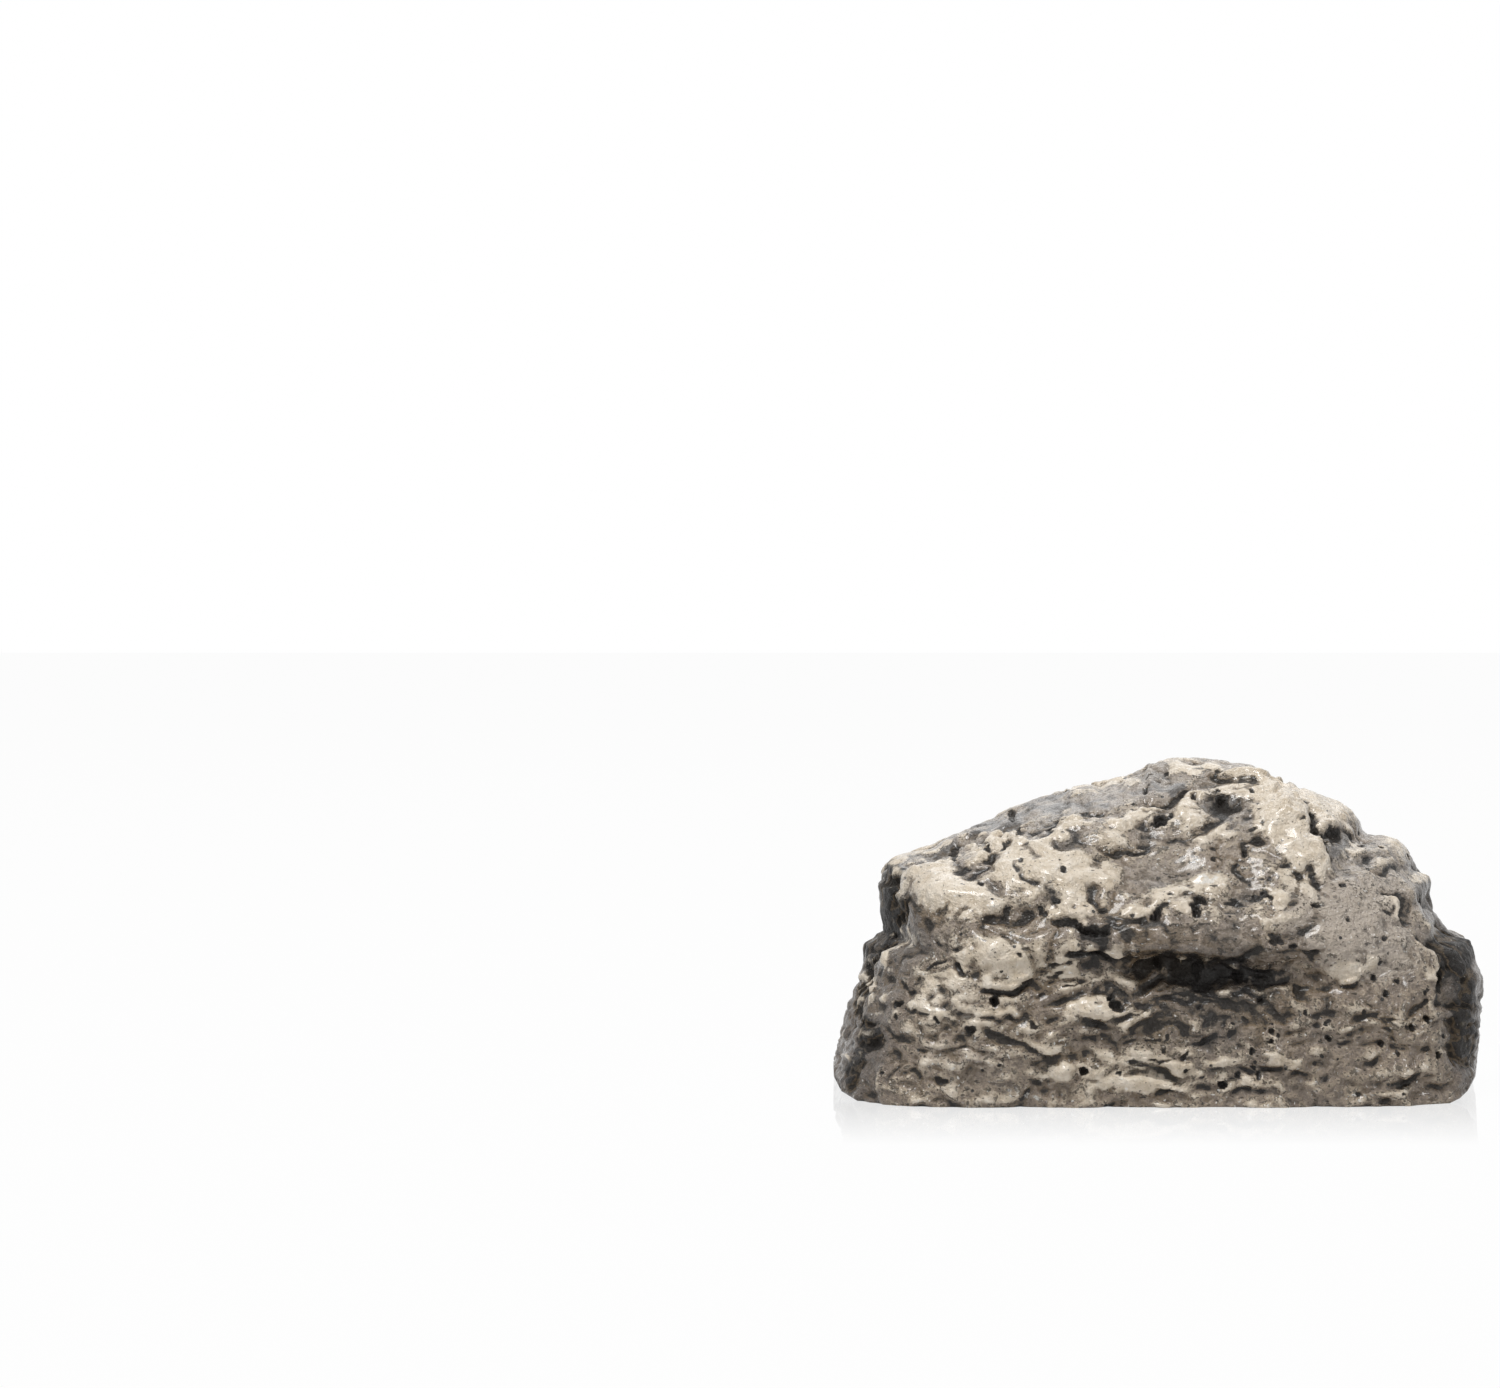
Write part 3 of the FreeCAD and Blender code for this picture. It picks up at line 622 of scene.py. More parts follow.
LINE_END = 1.6              # mm over which a line fades out at its ends
LINE_BLEND = 0.30           # mm to each side of a ledge's line over which it turns over
LEDGE_SHADE = 0.55          # of a ledge's reach below, which its painted shade covers
LIP_SHARE = 0.6             # of a ledge's reach above, which its cream covers
LIP_CREAM = 0.15
CREASE_WASH = 0.9
EDGE_CREAM = 0.3            # on the edges of creases and pits
PIT_DEPTH = 2.0             # of its radius
PIT_WASH = 1.3
WRAP_LENGTH = 215.0         # mm round the foot
WRAP_HEIGHT = 52.0          # mm from the foot to the peak
WEATHERED = (-107, 107)     # mm across the unrolled skin
LINE_STARTS = (-105, 100)
LINE_STEP = 2.2             # mm
DAB_TURNS = (-30, 30)       # degrees
WEATHER_LEDGES = 64
WEATHER_CREASES = 44
WEATHER_LUMPS = 90
WEATHER_PITS = 150
WEATHER_CALM = 26
WEATHER_DABS = (
    # paint, how many, sizes, strengths, heights, height as a share of length
    ("cream", 56, (1.5, 7), (0.3, 0.9), (12, 50), 0.5),
    ("slate", 30, (2, 6), (0.2, 0.6), (0, 40), 0.6),
)
WEATHER_SEED = 41
FRONT_BUBBLES = 90          # the smallest ones, strewn over the front
SWAY_REACH = 2.2            # mm by which clouds carry the worked lines off their course


class Sheet:
    """The skin laid out flat to work on: across and up in mm, a share that fades the work out,
    and a share that breaks up its lines."""

    def __init__(self, across, up, share, broken):
        self.across, self.up, self.share, self.broken = across, up, share, broken

    def near(self, points, reach):
        """Which places may be within reach of the points."""
        low, high = np.min(points, axis=0) - reach, np.max(points, axis=0) + reach
        return np.flatnonzero((self.across > low[0]) & (self.across < high[0]) & (self.up > low[1])
                              & (self.up < high[1]) & (self.share > 0))

    def line(self, points, reach):
        """The places near a line drawn left to right: which, how far, 1 above it to 0 below, a share."""
        chosen = self.near(points, reach)
        across, up = self.across[chosen], self.up[chosen]
        best, over, along = np.full(len(chosen), 1e9), np.zeros(len(chosen)), np.zeros(len(chosen))
        run = 0.0
        for (x0, y0), (x1, y1) in zip(points[:-1], points[1:]):
            dx, dy = x1 - x0, y1 - y0
            length = math.hypot(dx, dy)
            step = np.clip(((across - x0) * dx + (up - y0) * dy) / length ** 2, 0, 1)
            away = np.hypot(across - x0 - step * dx, up - y0 - step * dy)
            nearer = away < best
            best = np.where(nearer, away, best)
            over = np.where(nearer, dx * (up - y0) - dy * (across - x0), over)
            along = np.where(nearer, run + step * length, along)
            run += length
        fade = min(LINE_END, run / 3)
        ends = ease(along / fade) * ease((run - along) / fade)
        side = smooth(best * np.sign(over), -LINE_BLEND, LINE_BLEND)
        return chosen, best, side, ends * self.share[chosen] * self.broken[chosen]

    def patch(self, across, up, half_length, half_height, turn):
        """The places near an oval: which, how far out (1 on its edge), and a share."""
        chosen = self.near([(across, up)], 1.6 * max(half_length, half_height))
        x, y = self.across[chosen] - across, self.up[chosen] - up
        c, s = math.cos(math.radians(turn)), math.sin(math.radians(turn))
        out = np.hypot((x * c + y * s) / half_length, (y * c - x * s) / half_height)
        return chosen, out, self.share[chosen]


class Skin:
    """What is worked into the skin: relief in mm outwards, how calm it is, and its paints from 0 to 1."""

    def __init__(self, count):
        for name in ("relief", "calm", "cream", "slate", "wash", "quartz"):
            setattr(self, name, np.zeros(count))

    def ledge(self, sheet, lip, drop, above, below, points):
        """A lip along a line, a sharp drop under it, and painted shade below the drop."""
        chosen, away, over, share = sheet.line(points, max(above, below))
        step = over * lip * ease(1 - away / above) - (1 - over) * drop * ease(1 - away / below)
        self.relief[chosen] += share * step
        # Painted shade: wash below the drop, where the lip would shade it.
        shaded = ease(1.1 - away / (LEDGE_SHADE * below)) * min(0.8, 0.15 + 0.40 * drop)
        self.wash[chosen] += share * (1 - over) * shaded
        self.cream[chosen] += share * over * LIP_CREAM * ease(1 - away / (LIP_SHARE * above))

    def crease(self, sheet, width, depth, points):
        """A narrow groove."""
        chosen, away, _, share = sheet.line(points, 2 * width)
        self.relief[chosen] -= share * depth * ease(1 - away / width)
        self.wash[chosen] += share * CREASE_WASH * np.clip(1.2 - 0.8 * away / width, 0, 1)
        self.cream[chosen] += share * EDGE_CREAM * ease(1 - np.abs(away / width - 1.4) / 0.6)

    def pit(self, sheet, across, up, radius):
        """A burst bubble."""
        chosen, out, share = sheet.patch(across, up, radius, radius, 0)
        self.relief[chosen] -= share * (PIT_DEPTH * radius) * ease((1.25 - out) / 0.6)
        self.wash[chosen] += share * PIT_WASH * np.clip(1.6 - out, 0, 1)
        self.cream[chosen] += share * EDGE_CREAM * ease(1 - np.abs(out - 1.45) / 0.3)

    def lump(self, sheet, across, up, half_length, half_height, turn, height):
        """A rounded lump, or a hollow where the height is less than nothing."""
        chosen, out, share = sheet.patch(across, up, half_length, half_height, turn)
        self.relief[chosen] += share * height * ease(1 - out / 1.5)

    def dab(self, sheet, field, strength, across, up, half_length, half_height, turn):
        """Paint or calm in an oval."""
        chosen, out, share = sheet.patch(across, up, half_length, half_height, turn)
        getattr(self, field)[chosen] += share * strength * ease((1.5 - out) / 1.0)

    def stroke(self, sheet, field, strength, width, points):
        """Paint or calm along a line."""
        chosen, away, _, share = sheet.line(points, 1.5 * width)
        getattr(self, field)[chosen] += share * strength * ease((1.5 - away / width) / 1.0)


# The front of the stone is worked one by one, in mm across and up as seen from the front.
FRONT_LEDGES = (
    # lip, drop, reach above, reach below, the line from left to right
    (0.4, 1, 2.5, 2.4, ((-24.8, 22.3), (-22, 23.3), (-20, 23.9), (-18.5, 24.1), (-17, 23.4), (-15.6, 22))),
    (0.4, 0.4, 2.4, 1.5, ((-15, 21.9), (-12, 21.9), (-9, 21.3), (-6.2, 21), (-4.7, 21.4), (-3, 22.2),
     (-1, 23.2), (1, 24), (4.5, 24.9), (7, 25.3))),
    (0.2, 0.5, 3.6, 2.4, ((-12.5, 17.3), (-11, 16.9), (-5, 16.6), (0, 16), (5, 15.6), (10, 15), (14, 14.6),
     (17, 14.2), (20.5, 13.4))),
    (0.7, 0.9, 3, 1.6, ((-25.2, 11.6), (-23, 12.5), (-20.5, 12.4), (-18.5, 12.7), (-17.3, 13.6),
     (-15.6, 14))),
    (0.4, 0.6, 1.5, 1.2, ((-35, 13.7), (-31.8, 12.4), (-30.9, 11.7))),
    (0.5, 0.7, 1.4, 1.2, ((-24, 8.9), (-21, 8.3), (-19, 8.9), (-17.6, 7.5))),
    (0.3, 0.6, 1.6, 1.2, ((-30.5, 20), (-27, 18.7), (-24.8, 18.2))),
    (0.6, 0.8, 1.5, 1.1, ((-28, 16.8), (-26.8, 15.6), (-25.8, 15), (-24.4, 16))),
    (0.4, 0.4, 1.6, 2.4, ((-34, 10.5), (-30, 9.2), (-25, 8))),
    (0.3, 0.3, 2.2, 1.8, ((-25.5, 8), (-20, 5.8), (-14, 3.7), (-9.2, 4.7))),
    (0.9, 0.7, 2.4, 1.3, ((-12, 8.9), (-9.5, 8.3), (-5.5, 8.7), (-3.2, 9.2))),
    (0.5, 0.6, 1.2, 1, ((-5.2, 7.5), (-3, 7.6), (-1.5, 8.7), (0.4, 9.4))),
    (0.4, 0.5, 1, 0.9, ((9.3, 12), (12.6, 12))),
    (0.5, 0.6, 1.1, 1, ((5.2, 9), (7, 8.3), (10.4, 8.7))),
    (0.4, 0.4, 0.8, 0.8, ((8.6, 10.9), (13, 10.8))),
    (0.4, 0.5, 0.9, 0.9, ((0, 11.1), (4.2, 10.8))),
    (0.4, 0.5, 0.9, 0.8, ((3.2, 12.3), (6, 11.7), (9.2, 11.4))),
    (0.4, 0.5, 1.6, 1.2, ((-5.6, 5.6), (0, 5.9), (3, 5.9), (5, 5.8), (8, 6.4), (10.8, 6.5))),
    (0.6, 0.6, 1.6, 1.1, ((22.4, 13.8), (24, 13.4), (25.5, 13), (26.5, 13.6), (28, 14))),
    (0.4, 0.7, 1.4, 1.1, ((25.8, 10.8), (28, 11.1), (29, 10.7), (30.2, 10))),
    (0.4, 0.6, 1, 0.9, ((27.8, 9.4), (30, 9.6), (32.2, 9.2))),
    (0.4, 0.4, 1, 1, ((17.2, 5.4), (22, 5.7), (25.8, 5.5))),
    (0.3, 0.4, 1, 1, ((22.8, 7.7), (18, 7.7))),
    (0.3, 0.5, 1.4, 1, ((25.5, 2.4), (28, 3), (29.6, 3.9))),
    (0.7, 1.4, 3, 3, ((19, 34.4), (22, 34), (25, 34), (27.2, 33.3))),
    (0.4, 0.6, 2, 1.8, ((27.2, 29.2), (30, 28.7), (34, 29.4))),
    (0.8, 1, 3.2, 2.4, ((-7.5, 35.2), (-11, 35.6), (-13, 34.5), (-15, 33.3), (-22, 32.8), (-26, 31.7),
     (-28, 31), (-30, 29.8), (-33.4, 28))),
    (0.4, 0.7, 1.8, 1.6, ((6.8, 38.9), (3.7, 39), (3, 37.6), (1, 37.4), (-2, 37), (-5, 35.8),
     (-7.2, 35.4))),
    (1.2, 1.7, 3.6, 2.6, ((23.2, 29.6), (22.5, 31), (21.5, 33), (20, 35), (18.5, 37), (17.5, 38.5),
     (16, 40), (12.5, 41.2))),
    (0.5, 1, 3, 2.4, ((38, 9.6), (37.3, 12), (37, 15), (36.5, 18), (34.5, 20), (33, 22.8), (31.5, 24.5),
     (29.6, 24.9))),
    (0.6, 0.9, 3, 2.6, ((-34, 24.6), (-33.9, 22), (-34.5, 20.5), (-35.5, 18), (-37, 15), (-38.5, 12),
     (-39.5, 9), (-40, 5.6))),
)
FRONT_CREASES = (
    # half width, depth, the line
    (0.5, 0.8, ((-12.8, 21.4), (-10.5, 21.6), (-9, 20.8), (-7.3, 20.4), (-5.9, 20.7))),
    (0.5, 0.8, ((-4.9, 20.8), (-3.5, 21.4), (-1.5, 22.1), (-0.3, 23.3))),
    (0.5, 0.8, ((4.2, 24.2), (5.3, 24.5), (6.8, 24.3))),
    (0.6, 0.8, ((-12.8, 17), (-11, 16.7), (-8, 16.6), (-5, 16))),
    (0.5, 0.7, ((1, 15), (4, 14.9), (6, 14.5), (8, 14.6))),
    (0.45, 0.7, ((9.5, 14.2), (11.5, 13.9), (14, 14.1), (16.5, 13.5))),
    (0.45, 1, ((-34, 23.2), (-35.2, 21), (-36.3, 19), (-37.3, 17.2), (-38.4, 14), (-39, 11))),
    (0.35, 0.6, ((-38.6, 16.6), (-39.6, 12.8), (-40.4, 9.4))),
    (0.35, 0.6, ((-37.9, 13.4), (-38.8, 10.4), (-39.6, 8.2))),
    (0.3, 0.5, ((-31.8, 13.7), (-30, 16), (-28.2, 17.3))),
    (0.35, 0.6, ((-28.5, 22.8), (-27.2, 24.2), (-26.3, 24.7))),
    (0.35, 0.6, ((-14.4, 15.9), (-13, 15.6), (-10.6, 15.8))),
    (0.35, 0.6, ((-14.5, 14.2), (-12.2, 15))),
    (0.35, 0.5, ((-13.7, 12.5), (-11, 13.3), (-9.7, 13.9))),
    (0.4, 0.6, ((-6.4, 31.2), (-4, 31.4), (-3, 30.9), (-1, 31.1), (0.4, 32))),
    (0.3, 0.5, ((-2.6, 32.4), (0, 32), (2.8, 33.2))),
    (0.4, 0.8, ((3.4, 3), (5.1, 4.5))),
    (0.3, 0.5, ((-4.5, 2.9), (-1, 2.7), (2, 3.7), (3.9, 3.5))),
    (0.3, 0.6, ((0, -1.8), (1.5, -0.8), (3, -0.3))),
    (0.3, 0.5, ((3.5, -1.6), (6, -1.2), (7.9, -0.9))),
    (0.3, 0.6, ((14.6, 35.8), (14.1, 33.8))),
    (0.4, 0.8, ((13.9, 26.4), (15.5, 28), (17, 29.3), (17.8, 29.9))),
    (0.35, 0.7, ((9, 28.2), (9.8, 28.9), (10.5, 27.8), (12, 26.6))),
    (0.4, 0.8, ((8.2, 23.8), (11, 24.2), (13, 25), (14.5, 24.8), (15.2, 24), (15, 22.7))),
    (0.35, 0.6, ((29.6, 23.9), (31, 22.7), (32.2, 23.5))),
    (0.35, 0.7, ((29.4, 8.4), (32.5, 8.6))),
    (0.3, 0.6, ((31, -0.5), (32.5, -0.6), (33, 0.2), (34, 1), (35.3, 2.3))),
    (0.3, 0.5, ((14.6, 20.2), (17, 19), (18.5, 18), (19.5, 17), (20.7, 15.6))),
    (0.35, 0.7, ((40.1, 5.4), (40.6, 3.4))),
    (0.35, 0.7, ((39.9, 3.9), (40.7, 1.6))),
    (0.4, 0.8, ((26.7, 34.4), (27.4, 30.6))),
    (0.7, 1.7, ((23.4, 29.8), (22.4, 32.4), (20.8, 35), (19.2, 37.4), (18.4, 39.4))),
    (0.35, 0.6, ((33.6, 26.3), (35, 25), (36.4, 24))),
    (0.4, 0.7, ((-29.6, 1), (-28.5, 0), (-27, 0.2))),
    (0.4, 0.7, ((-1.7, 41), (-0.5, 41), (1, 41.6))),
    (0.3, 0.5, ((7.7, 42.1), (8.9, 41.7))),
)
FRONT_PITS = (
    # across, up, radius
    (-34.4, 10.4, 0.5), (-29, 8.2, 0.35), (-24.3, 7.5, 0.45), (-21.5, 10.6, 0.7), (-20.7, 2, 0.3),
    (-35.8, 1.1, 0.25), (-18.3, 17.1, 0.3), (-16.2, 7.8, 0.4), (-15.1, 22.7, 0.4), (-18.1, 33.7, 0.3),
    (-20.5, 31.3, 0.35), (-9.8, 36.3, 0.35), (-27.7, 30.7, 0.4), (-19.5, 35.8, 0.35), (0, 22.9, 0.65),
    (4.8, 22.9, 0.75), (-12.2, 21.3, 0.4), (-9.2, 20.7, 0.45), (-6.6, 20.5, 0.5), (-7.8, 20.4, 0.35),
    (5.5, 24.2, 0.45), (-5.6, 11.2, 0.45), (-5.1, 10, 0.6), (4.5, 38, 0.5), (0.2, 34.5, 0.75),
    (1.4, 35.2, 0.4), (-9.9, 2, 0.6), (9, 0, 0.4), (13, 2, 0.3), (13.5, 1, 0.3), (12.5, 4.5, 0.35),
    (10.3, 1.5, 0.3), (11.7, 30.7, 0.5), (13.9, 25.5, 0.45), (13, 34.2, 0.35), (20.2, 23.6, 0.4),
    (34.1, 7.2, 0.4), (35.8, 10.8, 0.35), (30.7, 12.3, 0.35), (36.4, 8.4, 0.45), (37.3, 14.2, 0.55),
    (37.2, 4.5, 0.45), (29.8, 4.8, 0.4), (23.2, 6.1, 0.35), (15, 5.8, 0.45), (13.7, 11, 0.45),
    (15, 7.1, 0.35), (16.3, 6.3, 0.3), (15.8, 19, 0.35), (16.8, 19.3, 0.3), (18, 18.3, 0.35),
    (20.8, 17.7, 0.4), (28.7, 13.8, 0.35), (33.2, 31, 0.5), (8.4, 39.7, 0.3), (8.6, 38.3, 0.5),
    (0.7, 42.1, 0.3), (10, 24.7, 0.3), (0.1, 15.1, 0.45), (5, 14.6, 0.45), (10.8, 13.9, 0.4),
)
FRONT_LUMPS = (
    # across, up, half length, half height, turn in degrees, height
    (-28.5, 25.6, 6, 3, -12, 0.9), (-14, 28, 8, 3.2, -5, 0.8), (-31, 28.6, 3, 1.5, 35, 0.5),
    (-25, 30.2, 3, 0.9, 12, 0.4), (-17.5, 32.2, 4, 1.3, 5, 0.5), (-11, 34.2, 3, 1.5, 20, 0.5),
    (-3, 35.8, 3, 1.2, 15, 0.4), (3, 36.5, 2, 1.3, 10, 0.4), (-22, 26.5, 1.6, 1.6, 0, -0.6),
    (-19.5, 16.5, 5, 2.5, -20, 0.8), (-26, 17, 1.5, 1, 0, 0.5), (-12.5, 25, 2, 2, 0, -0.3),
    (-12, 32, 3, 1.3, 10, -0.5), (-26.8, 28.9, 1.9, 0.9, 0, -0.5), (-22, 30.2, 1.6, 0.8, 0, -0.5),
    (-18.5, 22.2, 2.6, 1.1, 0, -0.8), (1.5, 28.3, 7.5, 3, 15, -0.8), (6.5, 27.5, 1.8, 1, 20, 0.5),
    (9.3, 29.4, 0.7, 1, 0, 0.4), (17, 36.5, 3.2, 4, -50, 1.2), (13.5, 38.6, 4, 2.2, -20, 0.7),
    (19, 30, 3.5, 4, -60, 0.4), (13.8, 32.5, 1.3, 1, 0, -0.9), (19.6, 28.4, 0.9, 1.4, 0, -0.6),
    (16.5, 23.5, 1, 1.8, 10, 0.6), (12, 25.4, 2.5, 0.8, 0, -0.4), (5.5, 18.4, 9, 2.2, 0, 0.5),
    (-10, 9.8, 3, 1.5, 20, 0.5), (25, 14.5, 2, 1.2, 0, 0.6), (28.5, 16, 1.5, 1.5, 0, 0.4),
    (26.5, 8.5, 1.6, 1, 0, -0.5), (30.5, 1.5, 2.5, 1.4, 0, 0.5), (33.5, -1, 1.8, 0.6, 25, 0.4),
    (-38, 5.3, 1.4, 1.4, 0, -1), (-40.3, 1.5, 0.8, 2, -20, -0.7), (-35.6, 26.8, 1.6, 0.9, 0, -1.2),
    (-35, 28.8, 2, 1.3, 0, 0.5), (22.5, 36.8, 4, 2, -15, 0.5), (30.5, 31, 3, 1.8, -10, 0.5),
    (24, 32.3, 3, 1.5, 0, -0.6), (40.2, 16, 2, 4, -10, 0.7), (39, 8, 1.5, 4, 0, -0.4),
    (-2.5, 0, 4, 1.3, 5, 0.5), (-13, 1.4, 2.2, 0.9, 25, 0.5), (7.6, 2.7, 0.9, 0.6, 0, 0.3),
    (-29, 6.8, 4, 1.2, -10, -0.5), (8.5, 37.4, 2.8, 1.5, 5, -1.1), (-19, 28, 1.5, 1, 0, -0.3),
    (4, 15, 14, 2.2, -6, -1.2), (2, 20.8, 9, 1.2, 4, 0.5), (1.5, 7, 1.4, 0.6, 0, 0.3),
    (5, 7.3, 1.4, 0.6, 0, 0.3), (-33.5, 1.5, 1.2, 0.7, 20, -0.3), (-33, 31, 3, 0.8, 25, 0.5),
    (-27, 33.3, 3, 0.8, 22, 0.5), (-31, 30, 3, 1, 25, -0.6), (-25, 32.2, 3.5, 1.1, 22, -0.7),
    (-18.5, 35, 3.5, 1.1, 20, -0.6), (-11, 37.6, 3.5, 1.2, 15, -0.5),
)
FRONT_DABS = {
    # field: strength, across, up, half length, half height, turn in degrees
    "calm": (
        (1, -16, 35.6, 9, 1.6, 20), (1, -2, 39, 6, 1.4, 12), (1, 5, 42.2, 5, 1.2, 0),
        (1, -30, 30.4, 7, 1.4, 20), (1, 30, 31, 3, 1.6, -10), (1, 2, 28.5, 7, 3, 14),
        (1, 5.5, 18.4, 9, 2.2, 0), (1, 17, 36, 5.5, 5, -50), (1, -23, 33.6, 11, 1.6, 18),
        (1, -8, 38.2, 7, 1.4, 20), (1, 30.5, 26, 4.5, 3.5, 0), (1, 32, 16, 4, 5, -20),
        (1, -12, 29, 5, 2.5, 0), (1, 22.5, 36.8, 4.5, 2.5, -15), (1, -28, 26, 5, 2.2, -12),
        (1, 25, 22, 5, 4, 0),
    ),
    "cream": (
        (0.6, -28.5, 25.6, 5.5, 2.8, -12), (0.8, -14, 28, 7.5, 3, -5), (1, 16.5, 37, 3.6, 3.6, -50),
        (0.8, 12.5, 39.6, 3.5, 1.6, -15), (0.45, 19.3, 29.5, 2.6, 5, 20), (0.9, 22.8, 37, 3.6, 2, -20),
        (0.9, 5, 42.6, 3.2, 0.9, 0), (0.55, -19.5, 16.6, 5, 2.4, -20), (0.6, -9, 10.6, 3.2, 1.6, 20),
        (0.4, -2.2, 9.4, 2, 0.8, 30), (0.6, 25, 14.8, 2, 1.4, 0), (0.6, 28.5, 16, 1.4, 1.5, 0),
        (0.7, -2.5, 0, 4.6, 1.4, 5), (0.3, 1, 2, 14, 3.5, 0), (0.5, -14, 1.6, 2.4, 0.9, 25),
        (0.2, 6.5, 33.4, 3.5, 1.2, 0), (-0.4, 8, 30.6, 3, 1.6, 0), (0.6, 31.4, 31.6, 2, 1.2, -20),
        (0.9, 35, 27.6, 1.2, 1.2, 0), (0.6, -26, 17, 1.6, 1, 0), (0.1, -25, 12, 9, 7, 0),
        (0.7, 16.5, 23.6, 1, 1.8, 10), (0.3, 7.6, 2.7, 1, 0.7, 0), (0.5, -3, 36, 3, 1, 15),
        # Negative cream takes cream off the right end, and as painted shade off the band under the lip and
        # the overhang.
        (-1, 39.6, 15.5, 2.6, 6, -10), (-0.7, 8, 18.2, 11, 1.7, -3), (-0.5, -4, 20.8, 8.5, 1.2, 5),
        (-0.6, -6, 20, 8, 1.5, 4), (-0.15, 26, 20, 7, 5, -20), (-0.3, 4, 11, 11, 3.5, -3),
        (-0.8, -37, 24, 2.5, 5, 5), (0.6, -36.3, 20.3, 0.8, 0.5, 30), (0.5, -30.5, 12.5, 2.4, 1.8, 20),
    ),
    "slate": (
        (-0.2, -26, 10, 9, 7, 0), (-0.2, -28, 2, 9, 4, 0), (0.8, 8.6, 37.6, 2.6, 1.6, 5),
        (0.5, 7.6, 40.7, 2.4, 0.9, -10), (0.6, -0.5, 41.3, 1.6, 0.7, 10), (0.6, 24.5, 32.2, 3, 1.7, 0),
        (0.3, 2, 28.3, 6.5, 2.6, 12), (0.4, 4, 12.5, 10, 3, -5), (0.3, 10, 8, 16, 4, 0),
        (0.4, -12, 32.2, 2.6, 1.2, 10), (0.4, -12.4, 25, 1.8, 1.8, 0), (0.5, -26.8, 28.9, 1.7, 0.8, 0),
        (0.5, -22, 30.2, 1.5, 0.8, 0), (0.6, 13.8, 32.5, 1.3, 1, 0), (1.5, -36.2, 24, 2, 4.2, 5),
        (1.1, -35.6, 28.6, 2.4, 1.6, -20), (1.4, -38.3, 19.3, 2.2, 3, 0), (0.1, -40, 13, 2.4, 6, -15),
        (1.3, -38.7, 6.4, 1.5, 1.9, 20), (0.6, -40.4, 1.3, 1, 2.4, -20), (1.3, 39.2, 17.6, 2.8, 4.6, -15),
        (0.8, 41, 9, 1.8, 6, 0), (0.5, 40.8, 5, 1.8, 5, 0), (0.2, 9, 18, 10, 2, -3),
        (-0.7, 26, 20.5, 9, 6, -20), (-0.35, 31.5, 26, 4, 3, -20), (-0.3, 2, 31.5, 8, 2, 10),
        # Slate under the overhang and the lip is painted shade.
        (0.6, 4, 16.4, 14, 3.4, -6), (0.3, -5, 21, 9, 1.4, 5),
    ),
    # Wash dabs darken hollows and the band under the lip and the overhang: painted shade, with the stone's
    # own wash.
    "wash": (
        (0.25, -12.8, 28.6, 1.2, 0.8, 0), (0.7, -5, 20.6, 8.5, 1.5, 6), (0.5, 4, 10, 13, 4, 0),
        (0.52, 7, 18.2, 11, 2.2, -3), (0.36, 3, 14.6, 15, 2.6, -6), (1, -35.6, 26.9, 1.4, 0.8, 0),
        (0.5, 8.6, 38.2, 2, 0.7, 8), (0.4, 8, 14.8, 9, 0.8, -4), (0.35, -38, 5.3, 1.2, 1.2, 0),
        (0.5, 9, 36.4, 0.6, 1.6, 10),
    ),
    # Frosted white patches: white grains, and painted glints.
    "quartz": (
        (0.4, -30.5, 12.5, 2, 1.2, 20), (1, 6.6, 27.5, 1.9, 0.7, 25), (0.7, -18.5, -1.2, 2.8, 0.8, 5),
        (0.6, 9.5, -2.4, 2.2, 0.5, 0), (0.6, -11.5, 20.2, 1.6, 0.5, 10), (0.5, 28.5, -1.8, 3.5, 0.7, 10),
        (0.5, 14.5, 23.2, 1.2, 0.6, 40),
    ),
}
